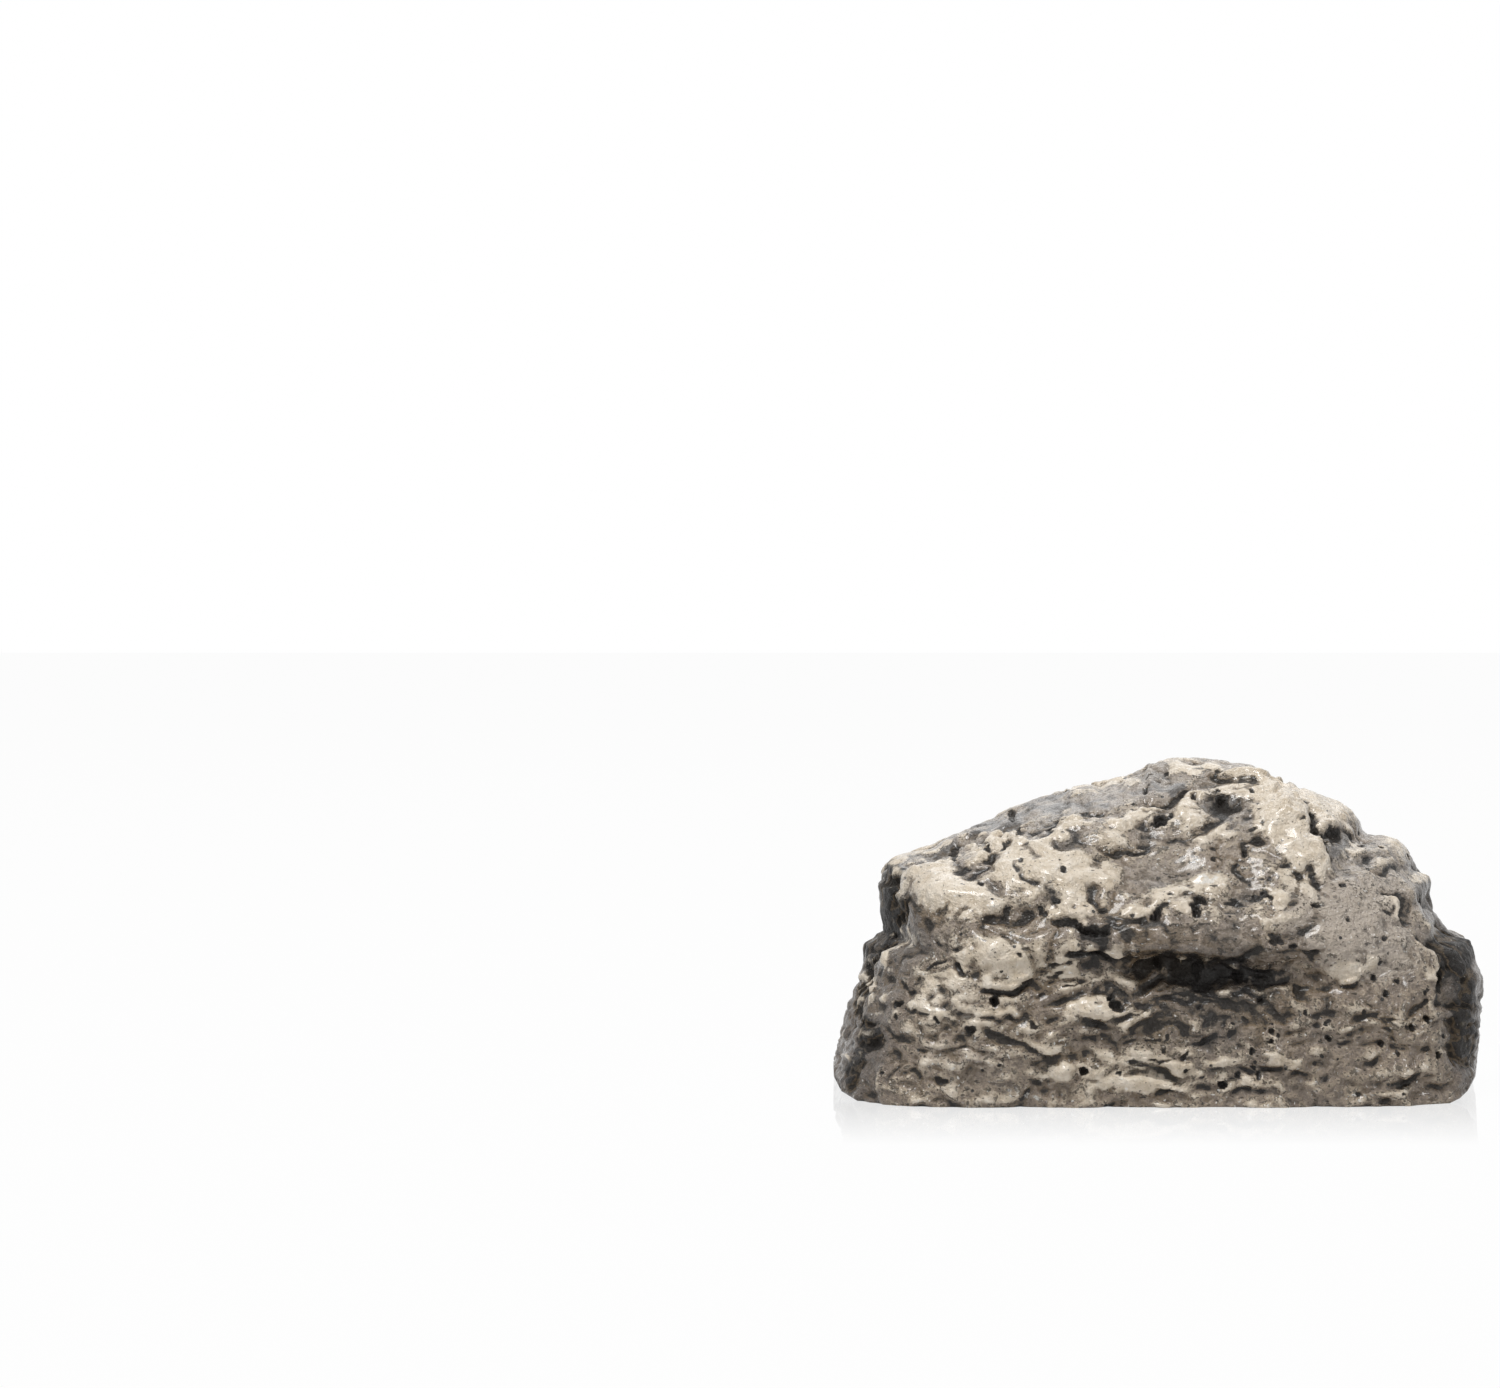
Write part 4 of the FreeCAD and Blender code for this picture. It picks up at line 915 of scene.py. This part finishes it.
FRONT_STROKES = {
    # field: strength, half width, the line
    "cream": (
        (1.2, 0.8, ((-36.5, 29), (-34, 30.4), (-30, 31.9), (-26.8, 33.3))),
        (0.5, 0.7, ((-16, 37.6), (-11, 39.3), (-7, 40))),
        (0.7, 0.9, ((-34, 26.2), (-31, 28.1), (-28, 29.4), (-22, 31), (-16, 32.2), (-11, 34.4),
         (-8, 34.6))),
        (0.7, 1.1, ((-15.5, 23), (-12, 23.2), (-9, 23.2), (-5, 22.6), (-3, 23), (0, 24.8), (2, 25.9),
         (5, 26.3), (7.5, 27), (9, 28.6))),
        (0.5, 0.5, ((36.4, 24.6), (38.2, 23.2), (39.6, 21.8))),
        (0.6, 1, ((12.5, 40.6), (15.5, 38.6), (18, 35.6), (20.4, 31.6), (21.4, 29.4))),
        (0.4, 0.7, ((-14.5, 20), (-10, 19.6), (-5, 19.4), (0, 19.9))),
        (0.4, 0.7, ((-12.5, 18), (-9, 18.2), (-5, 18.1), (0, 19), (3, 20.6), (6, 21.2))),
        (0.5, 0.5, ((-24.5, 9.3), (-21, 9.4), (-17.5, 10))),
        (0.4, 0.5, ((-34, 10.8), (-30, 9.6), (-25, 8.5))),
        (0.4, 0.5, ((-29, 22.4), (-32, 20.5), (-34, 18.4))),
        (0.4, 0.5, ((17.5, 5.9), (22, 6.2), (25.5, 6))),
        (0.9, 0.8, ((-13, 39.4), (-10, 40.2), (-7, 40.8), (-3, 41.6))),
        (-1.6, 1.1, ((-34.5, 28.7), (-30, 30.6), (-26, 32.6), (-22, 34.5), (-18, 35.7), (-14, 37),
         (-10, 38.2), (-4, 38.9), (3.5, 39.8))),
        (0.3, 1.2, ((-31, 12.5), (-27, 14.5), (-23, 15.5), (-18, 17.5), (-14, 19))),
        (0.6, 1, ((-33.4, 22.4), (-35, 18), (-36.7, 13.1), (-37.1, 8))),
        (0.8, 0.4, ((-37.6, 16), (-38.4, 12), (-39.3, 8))),
        (0.7, 0.35, ((-39, 15.5), (-39.9, 12), (-41, 8.5))),
        (0.9, 0.25, ((-34.4, 23), (-35.6, 20.6), (-37.4, 17.6))),
        (-0.35, 1.8, ((11, 15.2), (15, 14), (19, 12.4), (23, 10.4))),
    ),
    "slate": (
        (0.6, 1, ((24, 30), (22.6, 33), (20.6, 36), (19, 38.6))),
        (1, 1.2, ((-36, 27.8), (-30, 30.6), (-26, 32.6), (-22, 34.5), (-18, 35.7), (-14, 37), (-10, 38.2),
         (-4, 38.8), (4.5, 39.8))),
        (-0.4, 1, ((-33.4, 22.4), (-35, 18), (-36.7, 13.1), (-37.1, 8))),
        (0.5, 1, ((33.6, 22.6), (34.6, 20.4), (36.6, 18.6), (37.8, 15))),
        (0.8, 0.6, ((-38.4, 16.5), (-39.5, 12.5), (-40.6, 8.5))),
        (1.1, 0.9, ((-39.2, 5), (-40.2, 2.5), (-40.6, 0), (-39.5, -1.5))),
    ),
    # Darker bands along the lower ledges: wash and painted shade.
    "wash": (
        (0.35, 0.8, ((-25, 7), (-20, 4.9), (-14, 2.7), (-9, 4))),
        (0.38, 1.5, ((11, 15.2), (15, 14.2), (19, 12.6), (23, 10.6), (28, 8.8), (34, 7.4))),
        (0.26, 1.6, ((12, 12.6), (17, 10.6), (22, 8), (28, 6.4))),
    ),
}


def front_sheet(places, normals, sway, broken):
    """The skin as seen from the front, on the upright plane through the middle."""
    across, up = front_place(places)
    eye = np.array(CAMERA_PLACE) / MM
    facing = (unit(eye - places) * normals).sum(axis=1)
    return Sheet(across + sway[0], up + sway[1], smooth(facing, -0.04, 0.12), broken)


def wrapped_sheet(rounds, downs, front, sway, broken):
    """The skin unrolled round the stone, with its seam in front, where it fades out."""
    across = ((rounds + 0.25) % 1 - 0.5) * WRAP_LENGTH
    up = (1 - downs) * WRAP_HEIGHT
    away = 1 - smooth(front.share, 0.0, 0.7)
    return Sheet(across + sway[0], up + sway[1], away * smooth(downs, 0.04, 0.12), broken)


def wander(chance, start, length, lean):
    """A wandering line from left to right."""
    points = [start]
    for _ in range(max(2, int(length / LINE_STEP))):
        x, y = points[-1]
        points.append((x + LINE_STEP, y + chance.normal(0, 0.55) + lean))
    return points


def weather(skin, sheet, chance):
    """Ledges, creases, lumps and burst bubbles over the parts that are not worked one by one."""
    between = chance.uniform
    for _ in range(WEATHER_LEDGES):
        start = (between(*LINE_STARTS), between(2, 44))
        size = between(0.4, 1.0)
        line = wander(chance, start, between(5, 17), between(-0.35, 0.35))
        skin.ledge(sheet, 0.8 * size, 1.2 * size, 3.4 * size, 2.4 * size, line)
    for _ in range(WEATHER_CREASES):
        start = (between(*LINE_STARTS), between(1, 48))
        line = wander(chance, start, between(3, 8), between(-1.6, 1.6))
        skin.crease(sheet, between(0.3, 0.5), between(0.4, 0.9), line)
    for _ in range(WEATHER_LUMPS):
        size = between(1.2, 4.5)
        height = between(0.25, 0.8) * (1 if chance.random() < 0.6 else -1)
        skin.lump(sheet, between(*WEATHERED), between(2, 46), size, 0.6 * size, between(-40, 40), height)
    for field, count, sizes, strengths, heights, flatness in WEATHER_DABS:
        for _ in range(count):
            size = between(*sizes)
            skin.dab(sheet, field, between(*strengths), between(*WEATHERED), between(*heights),
                     size, flatness * size, between(*DAB_TURNS))
    for _ in range(WEATHER_PITS):
        skin.pit(sheet, between(*WEATHERED), between(1, 48), 0.25 + 0.4 * chance.random() ** 2)
    for _ in range(WEATHER_CALM):
        size = between(5, 10)
        skin.dab(sheet, "calm", 0.85, between(*WEATHERED), between(4, 48),
                 size, 0.5 * size, between(*DAB_TURNS))


def work_front(skin, front, chance):
    """What is worked in one by one on the front, and its smallest bubbles."""
    for work, rows in ((skin.ledge, FRONT_LEDGES), (skin.crease, FRONT_CREASES),
                       (skin.pit, FRONT_PITS), (skin.lump, FRONT_LUMPS)):
        for row in rows:
            work(front, *row)
    for work, fields in ((skin.dab, FRONT_DABS), (skin.stroke, FRONT_STROKES)):
        for field, rows in fields.items():
            for row in rows:
                work(front, field, *row)
    for _ in range(FRONT_BUBBLES):
        across, up = chance.uniform(-42, 42), chance.uniform(-3, 41)
        skin.pit(front, across, up, chance.uniform(0.16, 0.3))


def worked_skin(places, normals, rounds, downs):
    """The skin with everything that is worked into it one by one and by weather."""
    skin = Skin(len(places))
    sway = [clouds(places, 5.0, 201 + axis, 5) * SWAY_REACH for axis in range(2)]
    broken = 0.10 + 0.90 * smooth(clouds(places, 3.0, 231, 3), -0.25, 0.30)
    front = front_sheet(places, normals, sway, broken)
    chance = np.random.default_rng(WEATHER_SEED)
    work_front(skin, front, chance)
    weather(skin, wrapped_sheet(rounds, downs, front, sway, broken), chance)
    return skin


# ------------------------------------------------------------------ the skin as a piece

NORMAL_PASSES = 40          # of softening, before the relief stands out along the normals
FORM_PASSES = 600           # beyond which the cast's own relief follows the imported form
PEAK_PASSES = 20
PEAK_REACH = 0.01           # of the way down
NEAR_PASSES = 14            # the reach of a small hollow
WIDE_PASSES = 160
CALMED = 0.75               # of the cast's own relief, where the skin is calm
FOOT_START = 0.5            # mm above the table, up to which the relief is level
FOOT_RISE = 5.0             # mm above the table, below which the relief turns level
OUTER_CHART = 0.42          # share of the bake chart's side that the outside takes, from its middle
UNDER_CHART = 0.07


def rock_relief(places, normals):
    """The cast's own lumps, layers and grain, in mm."""
    warp = np.stack([clouds(places, 9.0, 11 + axis, 3) for axis in range(3)], axis=1) * 4.0
    warped = places + warp
    lumps = sagging(warped, 9.0, 31, 3, 1.6, shape=billow, finer=0.42) * 1.2
    layered = sagging(warped, 5.0, 57, 3, 1.3, stretch=(0.65, 0.65, 1.3), finer=0.62) * 1.5
    chipped = sagging(places + warp * 0.5, 2.4, 97, 2, 0.9, stretch=(0.50, 0.50, 1.25)) * 1.2
    chipped *= 0.25 + 0.75 * smooth(clouds(places, 8.0, 131, 2), -0.25, 0.20)
    low = smooth(-places[:, 2], -22, -12) * smooth(np.abs(normals[:, 2]), 0.9, 0.5)
    grain = clouds(places, 1.5, 83, 3) * 0.12
    return lumps * (1 - 0.6 * low) + (layered + chipped) * low + grain + chipped * (1 - low) * 0.25


def settle_relief(skin, places, normals, downs, softener):
    """Add the cast's own relief to what is worked in, and round off the peak."""
    weathered = rock_relief(places, normals) * (1 - CALMED * np.clip(skin.calm, 0, 1))
    skin.relief += weathered - softener.soften(weathered, FORM_PASSES)
    skin.relief = np.where(downs < PEAK_REACH, softener.soften(skin.relief, PEAK_PASSES), skin.relief)


def skin_paints(skin, places, normals, softener):
    """The paints by name: cream on what stands up, dark wash and painted shade in the hollows, slate on the
    ends and as painted shade in wide hollows.
    """
    near_hollow = softener.soften(skin.relief, NEAR_PASSES) - skin.relief
    wide_hollow = softener.soften(skin.relief, WIDE_PASSES) - skin.relief
    left = smooth(-places[:, 0], -25, 25)
    high = smooth(places[:, 2], 4, 34)
    ends = smooth(np.abs(normals[:, 0]), 0.45, 0.85)
    cream = 0.08 * left + 0.08 * high - 0.2 * ends + 0.7 * skin.cream
    return {
        # Hollows lose cream and gain wash and slate: partly the stone's own wash, partly painted shade in
        # its hollows.
        "cream": cream - 0.45 * wide_hollow - 0.6 * near_hollow,
        "wash": 2.1 * near_hollow + 0.40 * wide_hollow + skin.wash + 0.15 * ends,
        "slate": 0.10 + 0.7 * ends + 0.25 * wide_hollow + 0.8 * skin.slate,
        "quartz": skin.quartz,
    }


def raised(places, normals, relief):
    """The outside with its relief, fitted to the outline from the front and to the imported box."""
    outward = normals.copy()
    outward[:, 2] *= smooth(places[:, 2], FOOT_START, FOOT_RISE)
    placed = places + unit(outward) * relief[:, None]
    for _ in range(2):
        placed = trim_foot(fit_outline(placed))
    placed[:, 2] = np.maximum(placed[:, 2], 0.0)
    placed[ring_start(RINGS):, 2] = 0.0
    return fit_box(placed)


def underside_faces(foot, rings, middle):
    """Faces from the foot inwards, ring by ring, to one vertex in the middle."""
    faces = []
    previous = foot
    for _ in range(rings):
        current = previous + len(foot)
        quads = np.stack([previous, current, np.roll(current, -1), np.roll(previous, -1)], axis=1)
        faces += quads.tolist()
        previous = current
    return faces + [(a, middle, b) for a, b in zip(previous.tolist(), np.roll(previous, -1).tolist())]


def lay_chart(mesh, rounds, downs, foot, rings):
    """The bake chart: a disc with the peak in its middle and the underside round its edge."""
    steps = OUTER_CHART + np.arange(1, rings + 1) * UNDER_CHART / (rings + 1)
    spread = np.concatenate([OUTER_CHART * downs, np.repeat(steps, len(foot)), [OUTER_CHART + UNDER_CHART]])
    turns = np.concatenate([rounds, np.tile(rounds[foot], rings), [0.0]]) * 2 * math.pi
    chart = np.column_stack([0.5 + spread * np.cos(turns), 0.5 + spread * np.sin(turns)])
    corners = np.zeros(len(mesh.loops), np.int32)
    mesh.loops.foreach_get("vertex_index", corners)
    layer = mesh.uv_layers.new(name="OFBake")
    layer.uv.foreach_set("vector", chart[corners].astype(np.float32).ravel())


def add_piece(name, vertices, faces, rounded):
    """A new piece from vertices in mm; so many of its faces, from the first, are shaded round."""
    mesh = bpy.data.meshes.new(name)
    mesh.from_pydata((vertices * MM).tolist(), [], faces)
    mesh.polygons.foreach_set("use_smooth", np.arange(len(faces)) < rounded)
    return add_object(name, mesh)


def make_rock_skin():
    places, rounds, downs = skin_places(stone_form())
    triangles = skin_triangles()
    softener = Softener(triangles, len(places))
    facing = vertex_normals(places, triangles)
    normals = unit(np.stack([softener.soften(facing[:, axis], NORMAL_PASSES) for axis in range(3)], axis=1))
    skin = worked_skin(places, normals, rounds, downs)
    settle_relief(skin, places, normals, downs, softener)
    placed = raised(places, normals, skin.relief)
    foot = np.arange(ring_start(RINGS), len(placed))
    rings = underside_rings(placed[foot])
    vertices = np.vstack([placed, *rings, [(0, 0, HOLLOW_DEPTH)]])
    faces = triangles.tolist() + underside_faces(foot, len(rings), len(vertices) - 1)
    rock = add_piece("rock_skin", vertices, faces, len(triangles))
    for name, field in skin_paints(skin, places, normals, softener).items():
        whole = np.zeros(len(vertices))
        whole[:len(field)] = np.clip(field, -1.0, 1.5)
        rock.data.attributes.new(name, "FLOAT", "POINT").data.foreach_set("value", whole)
    lay_chart(rock.data, rounds, downs, foot, len(rings))
    return rock


# ------------------------------------------------------------------ finishes

GREY_STONE = paint(176, 162, 147)
COOL_STONE = paint(159, 151, 143)
EARTH = paint(141, 125, 108)
MOTTLE = paint(88, 76, 65)
TAN = paint(192, 174, 149)
PALE_STONE = paint(186, 174, 161)
SLATE = paint(120, 118, 116)
DEEP_SLATE = paint(84, 82, 81)
EARTHY_SLATE = paint(92, 81, 72)
DARKEST_SLATE = paint(22, 21, 21)
WAXY_CREAM = paint(208, 191, 166)
LIGHT_CREAM = paint(238, 227, 211)
# The next four colours go where the wash is: the stone's stain and wash, and painted shade in hollows and
# under ledges.
OLIVE_STAIN_AND_SHADE = paint(112, 92, 62)
GREY_STAIN_AND_SHADE = paint(84, 76, 68)
BROWN_WASH_AND_SHADE = paint(38, 33, 27)
BLACK_WASH_AND_SHADE = paint(26, 26, 27)
CREAM_RIM = paint(52, 45, 33)
TICK = paint(46, 40, 33)
FLECK = paint(46, 42, 37)
# Whites for frosted patches, partly painted glints, and for painted glints.
FROST_AND_GLINT = paint(228, 225, 219)
PAINTED_GLINT = paint(246, 243, 238)
BURST_BUBBLE = paint(26, 25, 24)
CELL_SHADE = paint(14, 14, 15)
BUBBLE_SPACING = 2.1        # mm


def cast_stone():
    """Cast resin: grey body, waxy cream over what stands up, olive stain and dark wash in the recesses,
    which also paint shade there, and white specks that are painted glints.
    """
    s = new_finish("cast_stone")
    cream, wash, slate, quartz = (s.attribute(name) for name in ("cream", "wash", "slate", "quartz"))
    broad = s.noise(9, 3) - 0.5
    middling = s.noise(2.4, 4, 0.6) - 0.5
    fine = s.noise(0.9, 3, 0.55) - 0.5
    ticks = s.noise(0.75, 3, 0.6, stretch=(0.6, 0.6, 1.5)) - 0.5
    specks = s.noise(0.34, 1)

    earthy = 1 - (s.along("Z") + broad * 0.012).step(0.012, 0.036)
    body = s.mix((broad * 2.4 + middling * 1.2 + 0.5).clamp(), GREY_STONE, COOL_STONE)
    body = s.mix(earthy * 0.75, body, EARTH)
    mottled = (0.20 - fine * 3.0 - middling * 1.8).clamp() * (0.35 + earthy * 0.35)
    body = s.mix(mottled, body, MOTTLE)
    tanned = (cream * 0.6 + middling * 0.9 + fine * 0.9 - slate * 0.3).step(-0.10, 0.24)
    body = s.mix(tanned * 0.75, body, TAN)
    paled = (broad * 0.3 + middling * 0.5 + fine * 0.5 - slate).step(-0.02, 0.28)
    body = s.mix(paled * 0.8, body, PALE_STONE)

    # Slate grey: the stone's own slate, and painted shade where the slate lies in hollows and under the
    # overhang.
    slate_and_shade_mask = (slate + broad * 0.4 + middling * 0.4 - fine * 0.5).step(0.32, 0.80)
    greys = s.mix((middling * 2 - fine * 2 + 0.5).clamp(), SLATE, DEEP_SLATE)
    body = s.mix(slate_and_shade_mask * 0.85, body, s.mix(earthy * 0.9, greys, EARTHY_SLATE))
    # Near black where the slate is strongest, mostly on the ends.
    darkened = (slate + middling * 0.6 - fine * 0.7).step(0.80, 1.20)
    body = s.mix(darkened * 0.92, body, DARKEST_SLATE)

    standing = cream + middling * 0.85 + fine * 0.50
    creamed = standing.step(0.06, 0.58)
    creams = s.mix((middling * 1.8 + fine * 1.4 + 0.5).clamp(), WAXY_CREAM, LIGHT_CREAM)
    body = s.mix(creamed * 0.94, body, creams)

    # Where the wash attribute is high: the stone's dark wash in pits and creases, and painted shade in
    # hollows and under ledges and lips; olive stain first, then brown-black.
    wash_and_shade_mask = wash + middling * 0.40 - fine * 0.70
    stain_and_shade_tones = s.mix((broad * 3 + 0.5).clamp(), OLIVE_STAIN_AND_SHADE, GREY_STAIN_AND_SHADE)
    body = s.mix(wash_and_shade_mask.step(0.10, 0.28) * 0.62, body, stain_and_shade_tones)
    blackened = wash_and_shade_mask.step(0.34, 0.64)
    outside_wash_and_shade = 1 - blackened
    body = s.mix(blackened * 0.94, body, s.mix((broad * 2 + 0.5).clamp(), BROWN_WASH_AND_SHADE, BLACK_WASH_AND_SHADE))
    beside_cream = 1 - (standing - 0.22).size().step(0.02, 0.20)
    rim = beside_cream * (specks * 0.5 + fine).step(0.26, 0.34)
    body = s.mix(rim * 0.8, body, CREAM_RIM)

    ticked = (ticks + wash * 0.14 - paled * 0.02).step(0.150, 0.185) * outside_wash_and_shade
    body = s.mix(ticked * 0.82, body, TICK)
    flecks = specks.step(0.71, 0.74) * outside_wash_and_shade
    body = s.mix(flecks * 0.7, body, FLECK)
    # Frosted white: white grains, and painted glints.
    frost_and_glint_mask = (quartz * 0.6 + fine * 2.2 + middling).step(0.45, 0.80)
    body = s.mix(frost_and_glint_mask * 0.7, body, FROST_AND_GLINT)
    # Tiny white specks: painted glints.
    painted_glints = s.noise(0.6, 1).step(0.71, 0.74) * (0.3 + middling * 5).clamp()
    painted_glints = painted_glints * outside_wash_and_shade * (1 - darkened * 0.7)
    body = s.mix(painted_glints * 0.8, body, PAINTED_GLINT)
    bubbly = (s.noise(3.1, 1) + wash * 0.08).step(0.52, 0.56)
    burst = (1 - (s.cells(BUBBLE_SPACING) + fine * 0.05).step(0.085, 0.125)) * bubbly
    body = s.mix(burst * 0.95, body, BURST_BUBBLE)

    crackle = (s.noise(1.3, 3, 0.6) - 0.5).size().step(0.0, 0.07)
    grit = s.noise(0.45, 3, 0.7)
    waxy = 1 - creamed * 0.55
    form = middling * 1.6 + fine * (waxy * 1.8) + grit * waxy * 0.10 + crackle * 0.10
    form = form - ticked * 0.35 - flecks * 0.3 - rim * 0.3 - burst * 1.6
    rough = 0.19 + middling * 0.30 + fine * 0.20 + blackened * 0.20 + slate_and_shade_mask * 0.10
    rough = rough + darkened * (0.28 + fine * 0.8) - frost_and_glint_mask * 0.10
    glazed = (0.42 - darkened * 0.36 - blackened * 0.25 + quartz * 0.2).clamp()
    return s.surface(Base_Color=body, Roughness=rough, Normal=s.bump(form, 0.48, 1.0), IOR=1.45,
                     Specular_IOR_Level=0.30, Coat_Weight=glazed, Coat_Roughness=0.14)


def moulded_plastic(name, colour, worn, bump_depth):
    """Moulded plastic with a fine eroded texture and light scuffs."""
    s = new_finish(name)
    broad = s.noise(7, 3)
    texture = s.noise(0.22, 2, 0.6)
    scuffs = s.noise(1.4, 4, 0.7, stretch=(0.25, 1, 1)).step(0.62, 0.74)
    body = s.mix((broad * 1.6 - 0.3).clamp(), paint(*colour), paint(*worn))
    body = s.mix(scuffs * 0.22, body, tint(worn, 34))
    rough = 0.52 + texture * 0.18 - scuffs * 0.10
    return s.surface(Base_Color=body, Roughness=rough, Normal=s.bump(texture, bump_depth, 0.6))


def steel(name, colour, stretch, roughness):
    """Drawn or plated steel with fine lines along its draw."""
    s = new_finish(name)
    lines = s.noise(0.25, 3, 0.6, stretch=stretch)
    stain = s.noise(2.5, 3)
    body = s.mix((stain * 1.5 - 0.3).clamp(), paint(*colour), tint(colour, -22))
    rough = roughness + lines * 0.16 + stain * 0.06
    return s.surface(Base_Color=body, Roughness=rough, Metallic=1.0, Normal=s.bump(lines, 0.02, 0.5))


def cell_foam(name, colour, cell):
    """Foam rubber: small open cells in a dull skin."""
    s = new_finish(name)
    cells = s.cells(cell)
    broad = s.noise(6, 3)
    holes = 1 - cells.step(0.10, 0.42)
    body = s.mix((broad * 1.6 - 0.3).clamp(), paint(*colour), tint(colour, 16))
    body = s.mix(holes * 0.6, body, CELL_SHADE)
    height = cells.step(0.05, 0.5) * 0.8 + s.noise(1.8, 2) * 0.4
    return s.surface(Base_Color=body, Roughness=0.88 + holes * 0.08, Normal=s.bump(height, 0.09, 0.9))


# ------------------------------------------------------------------ foam pieces

PAD_CORNER = 2.6            # mm
PAD_POINTS = 240            # round the pad
PAD_SHARES = (0.02, 0.2, 0.4, 0.6, 0.75, 0.86, 0.93)     # rings on its crowned face
PAD_BACK_SHARES = (0.8, 0.4)
PAD_CROWN = 0.35            # mm
PAD_LOW_EDGE = ((0.55, 0.35), (0.275, 0.47), (0.066, 0.75), (0.0, 1.1))     # inset, up from the low face
PAD_HIGH_EDGE = ((0.06, 0.35), (0.3, 0.0))              # inset, down from the high face
SEAL_WIDTH = 1.2            # mm
SEAL_CORNER = 4.2
SEAL_POINTS = 420
SEAL_SECTION = (
    # across in widths, down in heights
    (0, 0), (-0.44, 0), (-0.5, 0.12), (-0.47, 0.5), (-0.36, 0.82), (-0.16, 0.98),
    (0.1, 1.0), (0.34, 0.86), (0.46, 0.52), (0.5, 0.12), (0.44, 0),
)


def rounded_loop(half_length, half_width, corner, count):
    """Points evenly round a rounded rectangle."""
    straight = (2 * (half_length - corner), 2 * (half_width - corner))
    arc = math.pi / 2 * corner
    total = 2 * sum(straight) + 4 * arc
    points = []
    for i in range(count):
        run = total * i / count
        for side in range(4):
            length = straight[1 - side % 2]
            turn = math.radians(90 * side)
            if run < length + arc:
                break
            run -= length + arc
        half, other = (half_length, half_width) if side % 2 == 0 else (half_width, half_length)
        if run < length:
            x, y = half, run - length / 2
        else:
            bend = (run - length) / corner
            x = half - corner + corner * math.cos(bend)
            y = other - corner + corner * math.sin(bend)
        points.append((x * math.cos(turn) - y * math.sin(turn), x * math.sin(turn) + y * math.cos(turn)))
    return np.array(points)


def loft_rings(name, rings, wrap):
    """A piece through rings of points; it wraps into a tube, or its ends are closed by fans."""
    count = len(rings[0])
    vertices = np.vstack(rings)
    faces = []
    for ring in range(len(rings) if wrap else len(rings) - 1):
        after = (ring + 1) % len(rings)
        for i in range(count):
            j = (i + 1) % count
            faces.append((ring * count + i, ring * count + j, after * count + j, after * count + i))
    if not wrap:
        first, last = vertices[:count].mean(axis=0), vertices[-count:].mean(axis=0)
        vertices = np.vstack([vertices, first, last])
        top = (len(rings) - 1) * count
        for i in range(count):
            j = (i + 1) % count
            faces.append((j, i, len(vertices) - 2))
            faces.append((top + i, top + j, len(vertices) - 1))
    return add_piece(name, vertices, faces, len(faces))


def make_key_lining():
    """The soft pad on the roof of the key room, crowned towards the keys."""
    low, high = (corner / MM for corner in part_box("key_pad"))
    middle, half = (low + high) / 2, (high - low) / 2
    loop = rounded_loop(half.x, half.y, PAD_CORNER, PAD_POINTS)

    def small_ring(scale, height):
        return level_ring(loop * scale + (middle.x, middle.y), height)

    def inset_ring(inset, height):
        return small_ring(np.array([1 - inset / half.x, 1 - inset / half.y]), height)

    rings = [small_ring(share, low.z + PAD_CROWN * share ** 4) for share in PAD_SHARES]
    rings += [inset_ring(inset, low.z + up) for inset, up in PAD_LOW_EDGE]
    rings += [inset_ring(inset, high.z - down) for inset, down in PAD_HIGH_EDGE]
    rings += [small_ring(share, high.z) for share in PAD_BACK_SHARES]
    for ring in rings:
        ring[:, 2] = np.clip(ring[:, 2] + clouds(ring, 2.4, 305, 2) * 0.05, low.z, high.z)
    return loft_rings("key_lining", [ring[::-1] for ring in rings], wrap=False)


def make_lid_seal():
    """The soft strip that the lid closes on: a rounded bead on the ledge of the case."""
    low, high = (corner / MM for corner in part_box("lid_gasket"))
    middle, half = (low + high) / 2, (high - low) / 2
    rings = []
    for across, down in SEAL_SECTION:
        inset = (0.5 + across) * SEAL_WIDTH
        loop = rounded_loop(half.x - inset, half.y - inset, SEAL_CORNER - inset, SEAL_POINTS)
        rings.append(level_ring(loop + (middle.x, middle.y), high.z - down * (high.z - low.z)))
    for ring in rings[2:-1]:
        ring[:, 2] = np.clip(ring[:, 2] + clouds(ring, 1.6, 409, 2) * 0.035, low.z, high.z)
    return loft_rings("lid_seal", rings, wrap=True)


# ------------------------------------------------------------------ the whole piece

def dress(node, finish):
    """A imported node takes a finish."""
    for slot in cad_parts[node].material_slots:
        slot.material = finish


def place_piece(piece, body, node, finish):
    piece.data.materials.append(finish)
    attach(piece, body)
    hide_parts(node)


set_camera()
set_stage()
place_piece(make_rock_skin(), "stone", "rock_shell", cast_stone())
key_lining = make_key_lining()
place_piece(key_lining, "stone", "key_pad", cell_foam("lining_foam", (70, 70, 73), 0.55))
lid_seal = make_lid_seal()
place_piece(lid_seal, "stone", "lid_gasket", cell_foam("seal_foam", (52, 52, 54), 0.30))
dress("key_case", moulded_plastic("case_plastic", (46, 46, 48), (56, 56, 58), 0.05))
dress("lid", moulded_plastic("lid_plastic", (50, 50, 52), (60, 60, 62), 0.05))
dress("catch_slider", moulded_plastic("catch_plastic", (108, 108, 111), (120, 120, 123), 0.03))
dress("hinge_pin", steel("pin_steel", (186, 186, 188), (0.1, 1, 1), 0.28))
dress("case_screws", steel("screw_steel", (156, 156, 159), (1, 1, 1), 0.24))

view = bpy.context.scene.view_settings
view.view_transform = "Standard"
